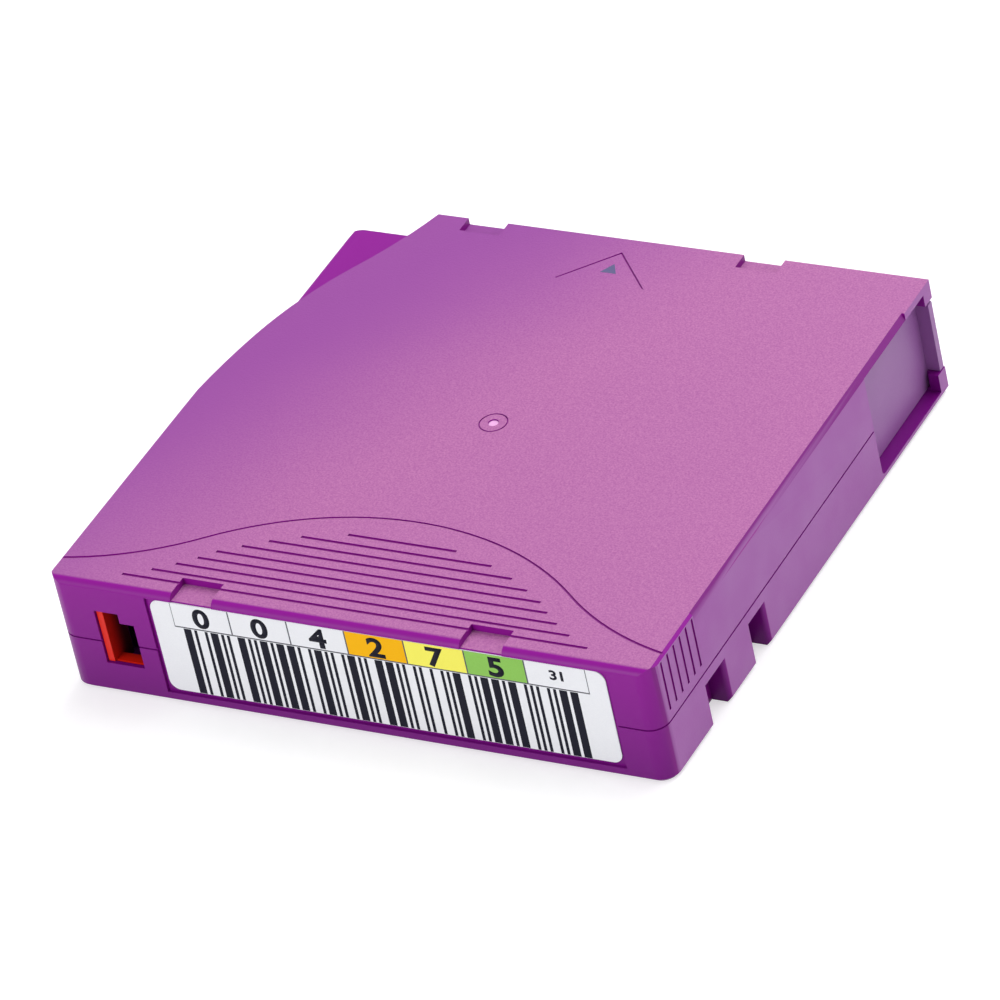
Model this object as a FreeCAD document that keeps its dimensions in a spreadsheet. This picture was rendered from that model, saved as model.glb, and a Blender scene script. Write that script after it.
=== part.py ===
"""Single-reel data tape cartridge: a parametric document of its shells, reel, brake, door and tape.

Frame: X runs across the cartridge, Y from the label end to the end that enters the drive, Z up.
The origin is the middle of the footprint, on the underside.  Lengths are in millimetres.
"""

import FreeCAD, Part
import math
import os
import re

import Sketcher

# ---------------------------------------------------------------------------------------------
# Driving sizes.  Each one becomes a cell of the sheet "Sizes", and every feature reads the cells.
# ---------------------------------------------------------------------------------------------

SIZES = {
    # Case
    "case_width": 105.4,
    "case_depth": 102.0,
    "case_height": 21.5,
    "side_wall": 1.8,
    "floor_plate": 1.8,
    "roof_plate": 2.0,
    "parting_level": 10.3,
    "label_corner": 3.0,
    "entry_corner": 2.5,
    "edge_bevel": 0.7,
    "seam_width": 0.3,
    "seam_depth": 0.3,
    "front_bevel_depth": 1.7,
    "front_bevel_height": 1.2,
    "side_bevel_depth": 0.5,
    "side_bevel_height": 1.4,
    "side_bevel_start": 15.0,
    "side_bevel_end": 9.3,
    "front_bevel_radius": 1.6,
    "edge_round": 0.45,
    # Shoulder cut into the top at the left of the entry end
    "ledge_level": 16.2,
    "ledge_plate": 1.6,
    "ledge_bevel": 0.8,
    "shoulder_reach": 60.0,
    "shoulder_mid_inset": 2.7,
    "shoulder_mid_reach": 36.7,
    "shoulder_low_inset": 10.4,
    "shoulder_low_reach": 16.0,
    "shoulder_end_inset": 17.3,
    "shoulder_radius_one": 140.0,
    "shoulder_radius_two": 72.0,
    "shoulder_radius_three": 79.0,
    # Stacking notches in the top
    "notch_sink": 1.2,
    "notch_width": 7.3,
    "front_notch_length": 4.8,
    "back_notch_length": 3.4,
    "notch_left": -26.8,
    "notch_right": 23.85,
    # Grip grooves, the sweeping groove, the arrow and the gate mark
    "groove_width": 0.55,
    "groove_sink": 0.25,
    "groove_pitch": 2.14,
    "groove_start": 3.5,
    "sweep_width": 0.5,
    "sweep_sink": 0.22,
    "sweep_edge_reach": 4.9,
    "sweep_turn_x": 32.0,
    "sweep_turn_reach": 14.8,
    "sweep_top_reach": 26.0,
    "arrow_half_width": 8.0,
    "arrow_base_reach": 12.1,
    "arrow_tip_reach": 3.5,
    "arrow_line": 0.35,
    "gate_ring_radius": 2.4,
    "gate_dot_radius": 0.9,
    "side_groove_base": 11.9,
    # Label seat and label
    "label_width": 79.2,
    "label_height": 17.5,
    "label_base": 2.5,
    "label_centre": 5.0,
    "label_sheet": 0.15,
    "label_glue": 0.03,
    "label_round": 1.8,
    "label_margin": 0.6,
    "label_seat_sink": 0.5,
    # Write-protect window and its slider
    "window_inset": 7.5,
    "window_width": 6.8,
    "window_base": 5.9,
    "window_top": 16.1,
    "window_block_width": 2.5,
    "window_block_base": 14.3,
    "window_skin": 0.7,
    "tab_travel": 3.0,
    "tab_base": 4.0,
    "tab_top": 17.6,
    "tab_floor": 6.05,
    "tab_ridge": 1.1,
    "tab_depth": 4.7,
    "tab_floor_depth": 1.9,
    "tab_tail": 5.2,
    "tab_clearance": 0.2,
    # Gripper notches in both sides of the lower shell
    "grip_sink": 3.4,
    "grip_height": 8.15,
    "grip_near_reach": 14.3,
    "grip_near_length": 6.3,
    "grip_far_reach": 29.6,
    "grip_far_length": 5.2,
    "grip_wall": 1.2,
    "grip_round": 0.8,
    # Door, its recess and its spring
    "door_recess_length": 25.1,
    "door_recess_sink": 2.35,
    "door_floor": 1.3,
    "door_thickness": 1.2,
    "door_clearance": 0.15,
    "door_tail": 12.0,
    "door_travel": 20.0,
    "door_flange_base": 4.6,
    "door_flange_top": 17.4,
    "lug_length": 2.6,
    "lug_low_top": 4.5,
    "lug_high_base": 18.0,
    "door_spring_radius": 0.8,
    "door_spring_wire": 0.3,
    "door_spring_clearance": 0.05,
    "door_spring_turns": 11,
    "door_spring_steps": 8,
    "door_spring_sides": 5,
    "spring_seat_reach": 66.5,
    # Reel
    "reel_offset": 1.1,
    "hub_opening_radius": 17.25,
    "flange_radius": 47.7,
    "flange_sheet": 1.0,
    "lower_flange_base": 2.6,
    "tape_width": 12.65,
    "tape_play": 0.3,
    "tape_radius": 46.5,
    "hub_radius": 22.0,
    "hub_bore_radius": 19.0,
    "hub_floor_base": 3.15,
    "hub_floor_plate": 1.85,
    "foot_inner_radius": 17.9,
    "foot_outer_radius": 20.4,
    "foot_clearance": 0.1,
    "gear_inner_radius": 12.6,
    "gear_outer_radius": 16.4,
    "brake_inner_radius": 12.4,
    "brake_outer_radius": 15.6,
    "tooth_count": 60,
    "tooth_height": 1.2,
    "tooth_root_share": 0.77,
    "tooth_tip_share": 0.17,
    "tooth_sink": 0.2,
    "plate_radius": 8.0,
    "plate_hole_radius": 2.5,
    "plate_sheet": 0.8,
    # Brake button, release spider and brake spring
    "button_radius": 16.2,
    "button_plate": 1.6,
    "button_boss_radius": 6.0,
    "button_boss_height": 6.2,
    "brake_play": 0.1,
    "key_length": 7.6,
    "key_width": 1.6,
    "key_base": 10.6,
    "key_clearance": 0.2,
    "leg_circle": 10.0,
    "leg_radius": 1.8,
    "leg_clearance": 0.3,
    "spider_plate": 1.0,
    "spider_hub_radius": 4.0,
    "spider_arm_width": 3.0,
    "brake_travel": 1.6,
    "brake_spring_radius": 9.5,
    "brake_spring_wire": 1.0,
    "brake_spring_turns": 4,
    "brake_spring_steps": 11,
    "brake_spring_sides": 7,
    # Leader pin, its clip and its retaining spring
    "pin_inset": 10.9,
    "pin_reach": 14.0,
    "pin_radius": 1.2,
    "pin_collar_radius": 2.3,
    "pin_collar": 0.6,
    "pin_groove": 0.8,
    "pin_play": 0.1,
    "clip_radius": 1.9,
    "leader_sheet": 0.1,
    "pin_spring_sheet": 0.3,
    "pin_spring_stand": 5.4,
    # Screws, posts and datum holes
    "post_radius": 3.2,
    "screw_head_radius": 2.1,
    "screw_head": 1.6,
    "screw_seat": 3.2,
    "screw_radius": 0.95,
    "screw_length": 9.0,
    "screw_bore_radius": 1.0,
    "screw_hole_radius": 1.2,
    "screw_head_hole_radius": 2.3,
    "datum_radius": 2.5,
    "datum_sink": 3.2,
    "datum_reach": 5.6,
    "datum_inset": 8.3,
    "datum_slot": 2.0,
    # Memory board
    "board_length": 16.0,
    "board_width": 7.0,
    "board_sheet": 0.8,
    "board_reach": 29.0,
    "board_tilt": 45.0,
    "chip_side": 3.2,
    "chip_height": 0.8,
}

# Places that follow from the driving sizes, written as formulas over them.
PLACES = {
    "front": "-case_depth / 2",
    "entry": "case_depth / 2",
    "right": "case_width / 2",
    "left": "-case_width / 2",
    "ceiling": "case_height - roof_plate",
    "inner_right": "right - side_wall",
    "inner_left": "left + side_wall",
    "inner_front": "front + side_wall",
    "inner_entry": "entry - side_wall",
    "hub_floor_top": "hub_floor_base + hub_floor_plate",
    "flange_top": "lower_flange_base + flange_sheet",
    "tape_base": "flange_top + tape_play / 2",
    "tape_top": "tape_base + tape_width",
    "hub_top": "flange_top + tape_width + tape_play",
    "gear_tip": "hub_floor_base - tooth_height",
    "button_base": "hub_floor_top + tooth_height + brake_play",
    "button_top": "button_base + button_plate",
    "window_left": "left + window_inset",
    "window_right": "window_left + window_width",
    "tab_front": "front + window_skin + tab_clearance",
    "tab_low": "window_left - tab_tail",
    "tab_high": "window_right + 0.8",
    "tab_ridge_left": "window_left + 0.15",
    "tab_ridge_right": "tab_ridge_left + tab_ridge",
    "tab_rear": "tab_front + tab_depth",
    "label_top": "label_base + label_height",
    "door_outer": "right - door_recess_sink - door_clearance",
    "door_inner": "door_outer - door_thickness",
    "recess_front": "entry - door_recess_length",
    "recess_face": "right - door_recess_sink",
    "slot_inner": "door_inner - door_clearance",
    "slot_top": "case_height - door_floor",
    "door_rear": "recess_front - door_tail",
    "spring_seat": "entry - spring_seat_reach",
    "door_spring_x": "inner_right - door_spring_radius - door_spring_wire / 2 - door_spring_clearance",
    "door_spring_z": "case_height / 2",
    "pin_x": "right - pin_inset",
    "pin_y": "entry - pin_reach",
    "pin_base": "floor_plate + pin_play",
    "pin_top": "ceiling - pin_play",
    "board_low_y": "entry - board_reach",
}

DOCUMENT = FreeCAD.newDocument("TapeCartridge")


def make_sheet():
    """Put every driving size in the sheet, one row each, with its name as the alias."""
    sheet = DOCUMENT.addObject("Spreadsheet::Sheet", "Sizes")
    for row, (name, value) in enumerate(SIZES.items(), start=1):
        sheet.set(f"A{row}", name)
        sheet.set(f"B{row}", str(value))
        sheet.setAlias(f"B{row}", name)
    DOCUMENT.recompute()
    return sheet


SHEET = make_sheet()


def bind(formula):
    """Turn a formula over size and place names into an expression over the sheet's cells."""
    def swap(match):
        word = match.group(0)
        if word in PLACES:
            return "(" + bind(PLACES[word]) + ")"
        if word in SIZES:
            return "Sizes." + word
        return word
    return re.sub(r"[a-z_]+", swap, str(formula))


def value(formula):
    """The number that a formula gives with the sheet's present cells."""
    return float(SHEET.evalExpression(bind(formula)))


# ---------------------------------------------------------------------------------------------
# Sketch and feature helpers
# ---------------------------------------------------------------------------------------------

def make_body(label, x="0", y="0", turn=None):
    """A PartDesign body placed by formulas, with an optional turn about Z."""
    body = DOCUMENT.addObject("PartDesign::Body", label)
    body.Label = label
    body.Placement = FreeCAD.Placement(
        FreeCAD.Vector(value(x), value(y), 0), FreeCAD.Rotation(FreeCAD.Vector(0, 0, 1), 1))
    body.setExpression(".Placement.Base.x", bind(x))
    body.setExpression(".Placement.Base.y", bind(y))
    body.setExpression(".Placement.Rotation.Angle", bind(turn or "0deg"))
    return body


def origin_feature(body, role):
    """The body's own origin plane or axis with this role."""
    return next(item for item in body.Origin.OriginFeatures if item.Role == role)


def new_sketch(body, name, plane, level):
    """An empty sketch on one of the body's origin planes, moved along its normal by a formula."""
    sketch = body.newObject("Sketcher::SketchObject", name)
    sketch.AttachmentSupport = [(origin_feature(body, plane), "")]
    sketch.MapMode = "FlatFace"
    sketch.setExpression(".AttachmentOffset.Base.z", bind(level))
    return sketch


def arc_between(start, end, radius, side):
    """The short arc between two points that bulges to the given side of the way from start to end."""
    chord = end - start
    rise = math.sqrt(max(radius ** 2 - (chord.Length / 2) ** 2, 0))
    left_normal = FreeCAD.Vector(-chord.y, chord.x, 0).normalize()
    centre = (start + end) / 2 + left_normal * (rise if side == "right" else -rise)
    circle = Part.Circle(centre, FreeCAD.Vector(0, 0, 1), radius)
    first, last = (start, end) if side == "right" else (end, start)
    first_angle = math.atan2(first.y - centre.y, first.x - centre.x)
    last_angle = math.atan2(last.y - centre.y, last.x - centre.x)
    return Part.ArcOfCircle(circle, first_angle, last_angle)


def add_loop(sketch, corners):
    """A closed loop, bound corner by corner.

    A corner is (x, y), or (x, y, radius, side) when the edge that leaves it is an arc that bulges
    to that side of the way round.
    """
    base = sketch.GeometryCount
    points = [FreeCAD.Vector(value(corner[0]), value(corner[1]), 0) for corner in corners]
    ends = []
    for index, corner in enumerate(corners):
        start, end = points[index], points[(index + 1) % len(points)]
        if len(corner) == 2:
            sketch.addGeometry(Part.LineSegment(start, end), False)
            ends.append((1, 2))
        else:
            arc = arc_between(start, end, value(corner[2]), corner[3])
            sketch.addGeometry(arc, False)
            ends.append((1, 2) if corner[3] == "right" else (2, 1))
    constraints = []
    formulas = []
    for index, corner in enumerate(corners):
        following = (index + 1) % len(corners)
        start_end, finish_end = ends[index]
        constraints.append(Sketcher.Constraint(
            "Coincident", base + index, finish_end, base + following, ends[following][0]))
        formulas.append(None)
        for kind, number, formula in (
                ("DistanceX", points[index].x, corner[0]), ("DistanceY", points[index].y, corner[1])):
            constraints.append(Sketcher.Constraint(kind, -1, 1, base + index, start_end, number))
            formulas.append(formula)
        if len(corner) == 4:
            constraints.append(Sketcher.Constraint("Radius", base + index, value(corner[2])))
            formulas.append(corner[2])
    bind_constraints(sketch, constraints, formulas)


def add_circle(sketch, x, y, radius):
    """A circle with its centre and radius bound."""
    index = sketch.GeometryCount
    centre = FreeCAD.Vector(value(x), value(y), 0)
    sketch.addGeometry(Part.Circle(centre, FreeCAD.Vector(0, 0, 1), value(radius)), False)
    constraints = [
        Sketcher.Constraint("DistanceX", -1, 1, index, 3, centre.x),
        Sketcher.Constraint("DistanceY", -1, 1, index, 3, centre.y),
        Sketcher.Constraint("Radius", index, value(radius)),
    ]
    bind_constraints(sketch, constraints, [x, y, radius])


def bind_constraints(sketch, constraints, formulas):
    """Add constraints and bind each one that has a formula."""
    first = sketch.ConstraintCount
    sketch.addConstraint(constraints)
    for offset, formula in enumerate(formulas):
        if formula is not None:
            sketch.setExpression(f"Constraints[{first + offset}]", bind(formula))


def box_loop(x_low, x_high, y_low, y_high):
    """The four corners of a rectangle."""
    return [(x_low, y_low), (x_high, y_low), (x_high, y_high), (x_low, y_high)]


def round_loop(x_low, x_high, y_low, y_high, radius):
    """A rectangle with four round corners."""
    return [
        (f"{x_low} + {radius}", y_low), (f"{x_high} - {radius}", y_low, radius, "right"),
        (x_high, f"{y_low} + {radius}"), (x_high, f"{y_high} - {radius}", radius, "right"),
        (f"{x_high} - {radius}", y_high), (f"{x_low} + {radius}", y_high, radius, "right"),
        (x_low, f"{y_high} - {radius}"), (x_low, f"{y_low} + {radius}", radius, "right"),
    ]


def sector_loop(inner, outer, x, y, start, end):
    """A ring sector about (x, y) between two radii and two angles in degrees, under 180 apart."""
    def corner(radius, angle):
        return f"{x} + ({radius}) * cos({angle}deg)", f"{y} + ({radius}) * sin({angle}deg)"
    return [
        corner(inner, start), (*corner(outer, start), outer, "right"),
        corner(outer, end), (*corner(inner, end), inner, "left"),
    ]


def extrude(kind, body, name, plane, level, loops, length, back=False, both=False):
    """Pad or pocket closed loops and check that the solid grew or shrank."""
    sketch = new_sketch(body, name + "Sketch", plane, level)
    for loop in loops:
        if len(loop) == 3 and not isinstance(loop[0], tuple):
            add_circle(sketch, *loop)
        else:
            add_loop(sketch, loop)
    before = body.Shape.Volume if not body.Shape.isNull() else 0.0
    feature = body.newObject("PartDesign::" + kind, name)
    feature.Profile = sketch
    feature.setExpression("Length", bind(length))
    feature.Reversed = back
    feature.Midplane = both
    check_step(body, feature, before, kind == "Pad")
    return feature


def pad(body, name, plane, level, loops, length, back=False, both=False):
    """Material added from loops, along the plane's normal unless back is set."""
    return extrude("Pad", body, name, plane, level, loops, length, back, both)


def pocket(body, name, plane, level, loops, length, back=False, both=False):
    """Material cut from loops, against the plane's normal unless back is set."""
    return extrude("Pocket", body, name, plane, level, loops, length, back, both)


def revolve(body, name, loop):
    """A full turn of a loop in the XZ plane about the body's Z axis."""
    sketch = new_sketch(body, name + "Sketch", "XZ_Plane", "0")
    add_loop(sketch, loop)
    before = body.Shape.Volume if not body.Shape.isNull() else 0.0
    feature = body.newObject("PartDesign::Revolution", name)
    feature.Profile = sketch
    feature.ReferenceAxis = (origin_feature(body, "Z_Axis"), [""])
    feature.Angle = 360
    check_step(body, feature, before, True)
    return feature


def polar(body, name, feature, count):
    """Copies of a feature spread evenly about the body's Z axis."""
    before = body.Shape.Volume
    grows = feature.TypeId != "PartDesign::Pocket"
    pattern = body.newObject("PartDesign::PolarPattern", name)
    pattern.Originals = [feature]
    pattern.Axis = (origin_feature(body, "Z_Axis"), [""])
    pattern.Angle = 360
    pattern.setExpression("Occurrences", bind(count))
    body.Tip = pattern
    check_step(body, pattern, before, grows)
    return pattern


def check_step(body, feature, before, grows):
    """Stop at the first feature that failed or changed the solid the wrong way."""
    DOCUMENT.recompute()
    after = body.Shape.Volume
    if "Invalid" in feature.State or "Error" in feature.State or body.Shape.isNull():
        raise RuntimeError(f"{feature.Name} failed: {feature.State}")
    if grows != (after > before) or abs(after - before) < 1e-6:
        raise RuntimeError(f"{feature.Name} changed the volume from {before:.3f} to {after:.3f}")


def fillet_uprights(body, name, feature, corners, radius):
    """Round the upright edges of a plain block that stand at the given (x, y) corners."""
    places = [(value(x), value(y)) for x, y in corners]
    names = []
    for index, edge in enumerate(feature.Shape.Edges, start=1):
        ends = [vertex.Point for vertex in edge.Vertexes]
        upright = len(ends) == 2 and abs(ends[0].z - ends[1].z) > 1
        if upright and any(math.hypot(ends[0].x - x, ends[0].y - y) < 0.01 for x, y in places):
            names.append(f"Edge{index}")
    fillet = body.newObject("PartDesign::Fillet", name)
    fillet.Base = (feature, names)
    fillet.setExpression("Radius", bind(radius))
    DOCUMENT.recompute()
    return fillet


def bevel_rim(body, name, feature, level, size):
    """Chamfer every edge of the solid that lies at one height."""
    height = value(level)
    names = [f"Edge{index}" for index, edge in enumerate(feature.Shape.Edges, start=1)
             if all(abs(vertex.Z - height) < 1e-4 for vertex in edge.Vertexes)]
    chamfer = body.newObject("PartDesign::Chamfer", name)
    chamfer.Base = (feature, names)
    chamfer.setExpression("Size", bind(size))
    DOCUMENT.recompute()
    return chamfer


def mirrored_loops(loop):
    """A loop and its copy mirrored across the plane X = 0."""
    swap = {"left": "right", "right": "left"}
    other = []
    for corner in loop:
        image = [f"-({corner[0]})", corner[1]]
        if len(corner) == 4:
            image += [corner[2], swap[corner[3]]]
        other.append(tuple(image))
    return [loop, other]


# ---------------------------------------------------------------------------------------------
# Outlines shared by the two shells
# ---------------------------------------------------------------------------------------------

SCREW_PLACES = {
    "LabelLeft": ("left + 23.5", "front + 6.0"),
    "LabelRight": ("right - 6.7", "front + 6.0"),
    "EntryLeft": ("left + 16.5", "entry - 5.2"),
    "EntryRight": ("right - 18.7", "entry - 4.8"),
}


def shoulder_outline(inset, back):
    """The top plate's outline: full width at the label end, swept in along the left of the entry end."""
    radii = ("shoulder_radius_one", "shoulder_radius_two", "shoulder_radius_three")
    end_shift = f"({back}) * 0.3"
    return [
        (f"left + {inset}", f"front + {back}"),
        (f"right - {inset}", f"front + {back}"),
        (f"right - {inset}", f"entry - {back}"),
        (f"left + shoulder_end_inset + {inset} - {end_shift}", f"entry - {back}", radii[2], "left"),
        (f"left + shoulder_low_inset + {inset}", "entry - shoulder_low_reach", radii[1], "right"),
        (f"left + shoulder_mid_inset + {inset}", "entry - shoulder_mid_reach", radii[0], "right"),
        (f"left + {inset}", "entry - shoulder_reach"),
    ]


def case_outline(inset):
    """The full rectangular outline, moved in by a wall."""
    return box_loop(f"left + {inset}", f"right - {inset}", f"front + {inset}", f"entry - {inset}")


def seam_outline(inset):
    """The case's outline with its three round corners, moved in by a small amount."""
    label_round = f"label_corner - {inset}"
    entry_round = f"entry_corner - {inset}"
    return [
        ("left + label_corner", f"front + {inset}"),
        ("right - label_corner", f"front + {inset}", label_round, "right"),
        (f"right - {inset}", "front + label_corner"),
        (f"right - {inset}", f"entry - {inset}"),
        ("left + entry_corner", f"entry - {inset}", entry_round, "right"),
        (f"left + {inset}", "entry - entry_corner"),
        (f"left + {inset}", "front + label_corner", label_round, "right"),
    ]


def tab_room_loop(low, high):
    """The thinned part of the label end's wall that the write-protect slider runs in."""
    return box_loop("tab_low - tab_clearance", "tab_high + tab_travel + 2 * tab_clearance",
                    low, high)


def grip_spans():
    """The near and far gripper notches as (low y, high y)."""
    return [
        ("front + grip_near_reach", "front + grip_near_reach + grip_near_length"),
        ("front + grip_far_reach", "front + grip_far_reach + grip_far_length"),
    ]


def spring_seat_loop():
    """The stop that the door spring's fixed end bears on."""
    return box_loop("door_spring_x - 1.0", "inner_right + 0.2", "spring_seat - 1.5", "spring_seat")


def pin_spring_rib():
    """The rib behind the pin's retaining spring."""
    return box_loop("pin_x - pin_spring_stand - 1.2", "pin_x - pin_spring_stand", "pin_y - 2.5",
                    "pin_y + 3.0")


def reel_guard_loops():
    """Low arc ribs round the reel, in the corners where the case leaves it room."""
    spans = ((-63, -48), (-132, -117), (51, 66), (118, 128))
    return [sector_loop("flange_radius + 1.0", "flange_radius + 1.9", "0", "reel_offset", start, end)
            for start, end in spans]


# ---------------------------------------------------------------------------------------------
# Case
# ---------------------------------------------------------------------------------------------

def make_top_shell():
    """Upper half of the case: roof, shoulder ledge, grip grooves, brake key and screw bosses."""
    body = make_body("top_shell")
    block = pad(body, "TopBlock", "XY_Plane", "parting_level", [case_outline("0")],
                "ledge_level - parting_level")
    fillet_uprights(body, "TopEntryCorner", block, [("left", "entry")], "entry_corner")
    pad(body, "TopPlate", "XY_Plane", "ledge_level", [shoulder_outline("0", "0")],
        "case_height - ledge_level")
    corners = [("left", "front"), ("right", "front")]
    fillet_uprights(body, "TopLabelCorners", body.Tip, corners, "label_corner")
    cut_top_edges(body)
    pocket(body, "TopCavity", "XY_Plane", "parting_level", [case_outline("side_wall")],
           "ledge_level - ledge_plate - parting_level", back=True)
    pocket(body, "RoofCavity", "XY_Plane", "parting_level",
           [shoulder_outline("side_wall", "side_wall")], "ceiling - parting_level", back=True)
    add_top_inside(body)
    cut_top_openings(body)
    cut_top_marks(body)
    return body


def cut_top_edges(body):
    """The rounded label edge, the smooth bevel along the right and the small ones beside it."""
    front_edge = [("front", "case_height - front_bevel_height"), ("front", "case_height"),
                  ("front + front_bevel_depth", "case_height", "front_bevel_radius", "right")]
    pocket(body, "FrontBevel", "YZ_Plane", "0", [front_edge], "case_width + 2", both=True)
    side = [("right", "case_height - side_bevel_height"), ("right", "case_height"),
            ("right - side_bevel_depth", "case_height")]
    pocket(body, "RightBevel", "XZ_Plane", "-(entry - side_bevel_end)", [side],
           "case_depth - side_bevel_end - side_bevel_start")
    small = [("right", "case_height - edge_round"), ("right", "case_height"),
             ("right - edge_round", "case_height")]
    pocket(body, "RightEdge", "XZ_Plane", "-(front + side_bevel_start)", [small],
           "side_bevel_start + 1")
    left_small = [(f"-({x})", z) for x, z in small]
    pocket(body, "LeftEdge", "XZ_Plane", "-(entry - shoulder_reach)", [left_small],
           "case_depth - shoulder_reach + 1")
    ledge = [("left", "ledge_level - ledge_bevel"), ("left", "ledge_level"),
             ("left + ledge_bevel", "ledge_level")]
    pocket(body, "LedgeBevel", "XZ_Plane", "-(entry - entry_corner)", [ledge],
           "shoulder_mid_reach - entry_corner")


def add_top_inside(body):
    """Brake key, spring ring, reel guards, tab rib, pin cradle and screw bosses inside the roof."""
    half_key = "key_length / 2"
    half_web = "key_width / 2"
    cross = [
        (half_web, f"reel_offset - {half_key}"), (half_web, f"reel_offset - {half_web}"),
        (half_key, f"reel_offset - {half_web}"), (half_key, f"reel_offset + {half_web}"),
        (half_web, f"reel_offset + {half_web}"), (half_web, f"reel_offset + {half_key}"),
        (f"-{half_web}", f"reel_offset + {half_key}"), (f"-{half_web}", f"reel_offset + {half_web}"),
        (f"-{half_key}", f"reel_offset + {half_web}"), (f"-{half_key}", f"reel_offset - {half_web}"),
        (f"-{half_web}", f"reel_offset - {half_web}"), (f"-{half_web}", f"reel_offset - {half_key}"),
    ]
    pad(body, "BrakeKey", "XY_Plane", "key_base", [cross], "ceiling - key_base + 0.5")
    spring_seat = "brake_spring_radius + brake_spring_wire / 2 + 0.3"
    pad(body, "SpringRing", "XY_Plane", "ceiling - 1.2",
        [("0", "reel_offset", f"{spring_seat} + 1.0"), ("0", "reel_offset", spring_seat)], "1.5")
    pad(body, "RoofGuards", "XY_Plane", "ceiling - 3.0", reel_guard_loops()[:3], "3.2")
    tab_rib = box_loop("inner_left - 0.2", "window_left + 0.5", "tab_rear + tab_clearance",
                       "tab_rear + tab_clearance + 1.0")
    pad(body, "TabRoofRib", "XY_Plane", "parting_level", [tab_rib], "ceiling - parting_level + 0.2")
    tab_stop = box_loop("window_left - 3.0", "window_left - 2.0", "inner_front - 0.2",
                        "tab_rear + 0.4")
    pad(body, "TabHoldDown", "XY_Plane", "tab_top + 0.1", [tab_stop], "ceiling - tab_top")
    cradle = sector_loop("pin_collar_radius + 0.15", "pin_collar_radius + 1.1", "pin_x", "pin_y",
                         100, 260)
    pad(body, "PinRoofCradle", "XY_Plane", "ceiling - pin_play - pin_collar", [cradle],
        "pin_play + pin_collar + 0.2")
    pad(body, "PinSpringRoofRib", "XY_Plane", "parting_level", [pin_spring_rib()],
        "ceiling - parting_level + 0.2")
    pad(body, "SpringRoofSeat", "XY_Plane", "parting_level", [spring_seat_loop()],
        "ceiling - parting_level + 0.2")
    for name, (x, y) in SCREW_PLACES.items():
        top = "ledge_level - ledge_plate" if name == "EntryLeft" else "ceiling"
        pad(body, name + "Boss", "XY_Plane", "parting_level", [(x, y, "post_radius - 0.6")],
            f"{top} - parting_level + 0.2")
        pocket(body, name + "Bore", "XY_Plane", "parting_level", [(x, y, "screw_bore_radius")],
               "2.6" if name == "EntryLeft" else "screw_length - 4.0", back=True)


def cut_top_openings(body):
    """Door recess and slot, label seat, window and stacking notches of the upper shell."""
    recess = [
        ("recess_front", "parting_level - 1"), ("entry + 1", "parting_level - 1"),
        ("entry + 1", "lug_high_base"), ("entry - lug_length", "lug_high_base"),
        ("entry - lug_length", "slot_top"), ("recess_front", "slot_top"),
    ]
    pocket(body, "TopDoorRecess", "YZ_Plane", "right + 1", [recess], "door_recess_sink + 1")
    slot = box_loop("slot_inner", "recess_face", "door_rear - door_travel - 4", "entry + 1")
    pocket(body, "TopDoorSlot", "XY_Plane", "parting_level - 1", [slot],
           "slot_top - parting_level + 1", back=True)
    rib = box_loop("recess_face - door_clearance", "inner_right + 0.2",
                   "door_rear + 1.3", "door_rear + 2.5")
    pad(body, "TopDoorStop", "XY_Plane", "parting_level", [rib], "ceiling - parting_level + 0.2")
    cut_label_seat(body, "Top", "parting_level - 1", "label_top + 0.3")
    window = [
        ("window_left", "parting_level - 1"), ("window_right", "parting_level - 1"),
        ("window_right", "window_block_base"),
        ("window_right - window_block_width", "window_block_base"),
        ("window_right - window_block_width", "window_top"), ("window_left", "window_top"),
    ]
    pocket(body, "TopWindow", "XZ_Plane", "-(front) + 1", [window], "side_wall + 1.1")
    pocket(body, "TopWindowSkin", "XZ_Plane", "-(front + window_skin)",
           [tab_room_loop("parting_level - 1", "tab_top + tab_clearance")], "side_wall + 0.1")
    front_notches = [
        box_loop(f"{centre} - notch_width / 2", f"{centre} + notch_width / 2",
                 "front - 1", "front + front_notch_length")
        for centre in ("notch_left", "notch_right")]
    back_notches = [
        box_loop(f"{centre} - notch_width / 2", f"{centre} + notch_width / 2",
                 "entry - back_notch_length", "entry + 1")
        for centre in ("notch_left + 0.65", "notch_right")]
    pocket(body, "StackingNotches", "XY_Plane", "case_height", front_notches + back_notches,
           "notch_sink")


def cut_label_seat(body, name, low, high):
    """The shallow seat that the label is stuck in, in one shell."""
    half = "(label_width / 2 + label_margin)"
    seat = box_loop(f"label_centre - {half}", f"label_centre + {half}", low, high)
    pocket(body, name + "LabelSeat", "XZ_Plane", "-(front)", [seat], "label_seat_sink")


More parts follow.
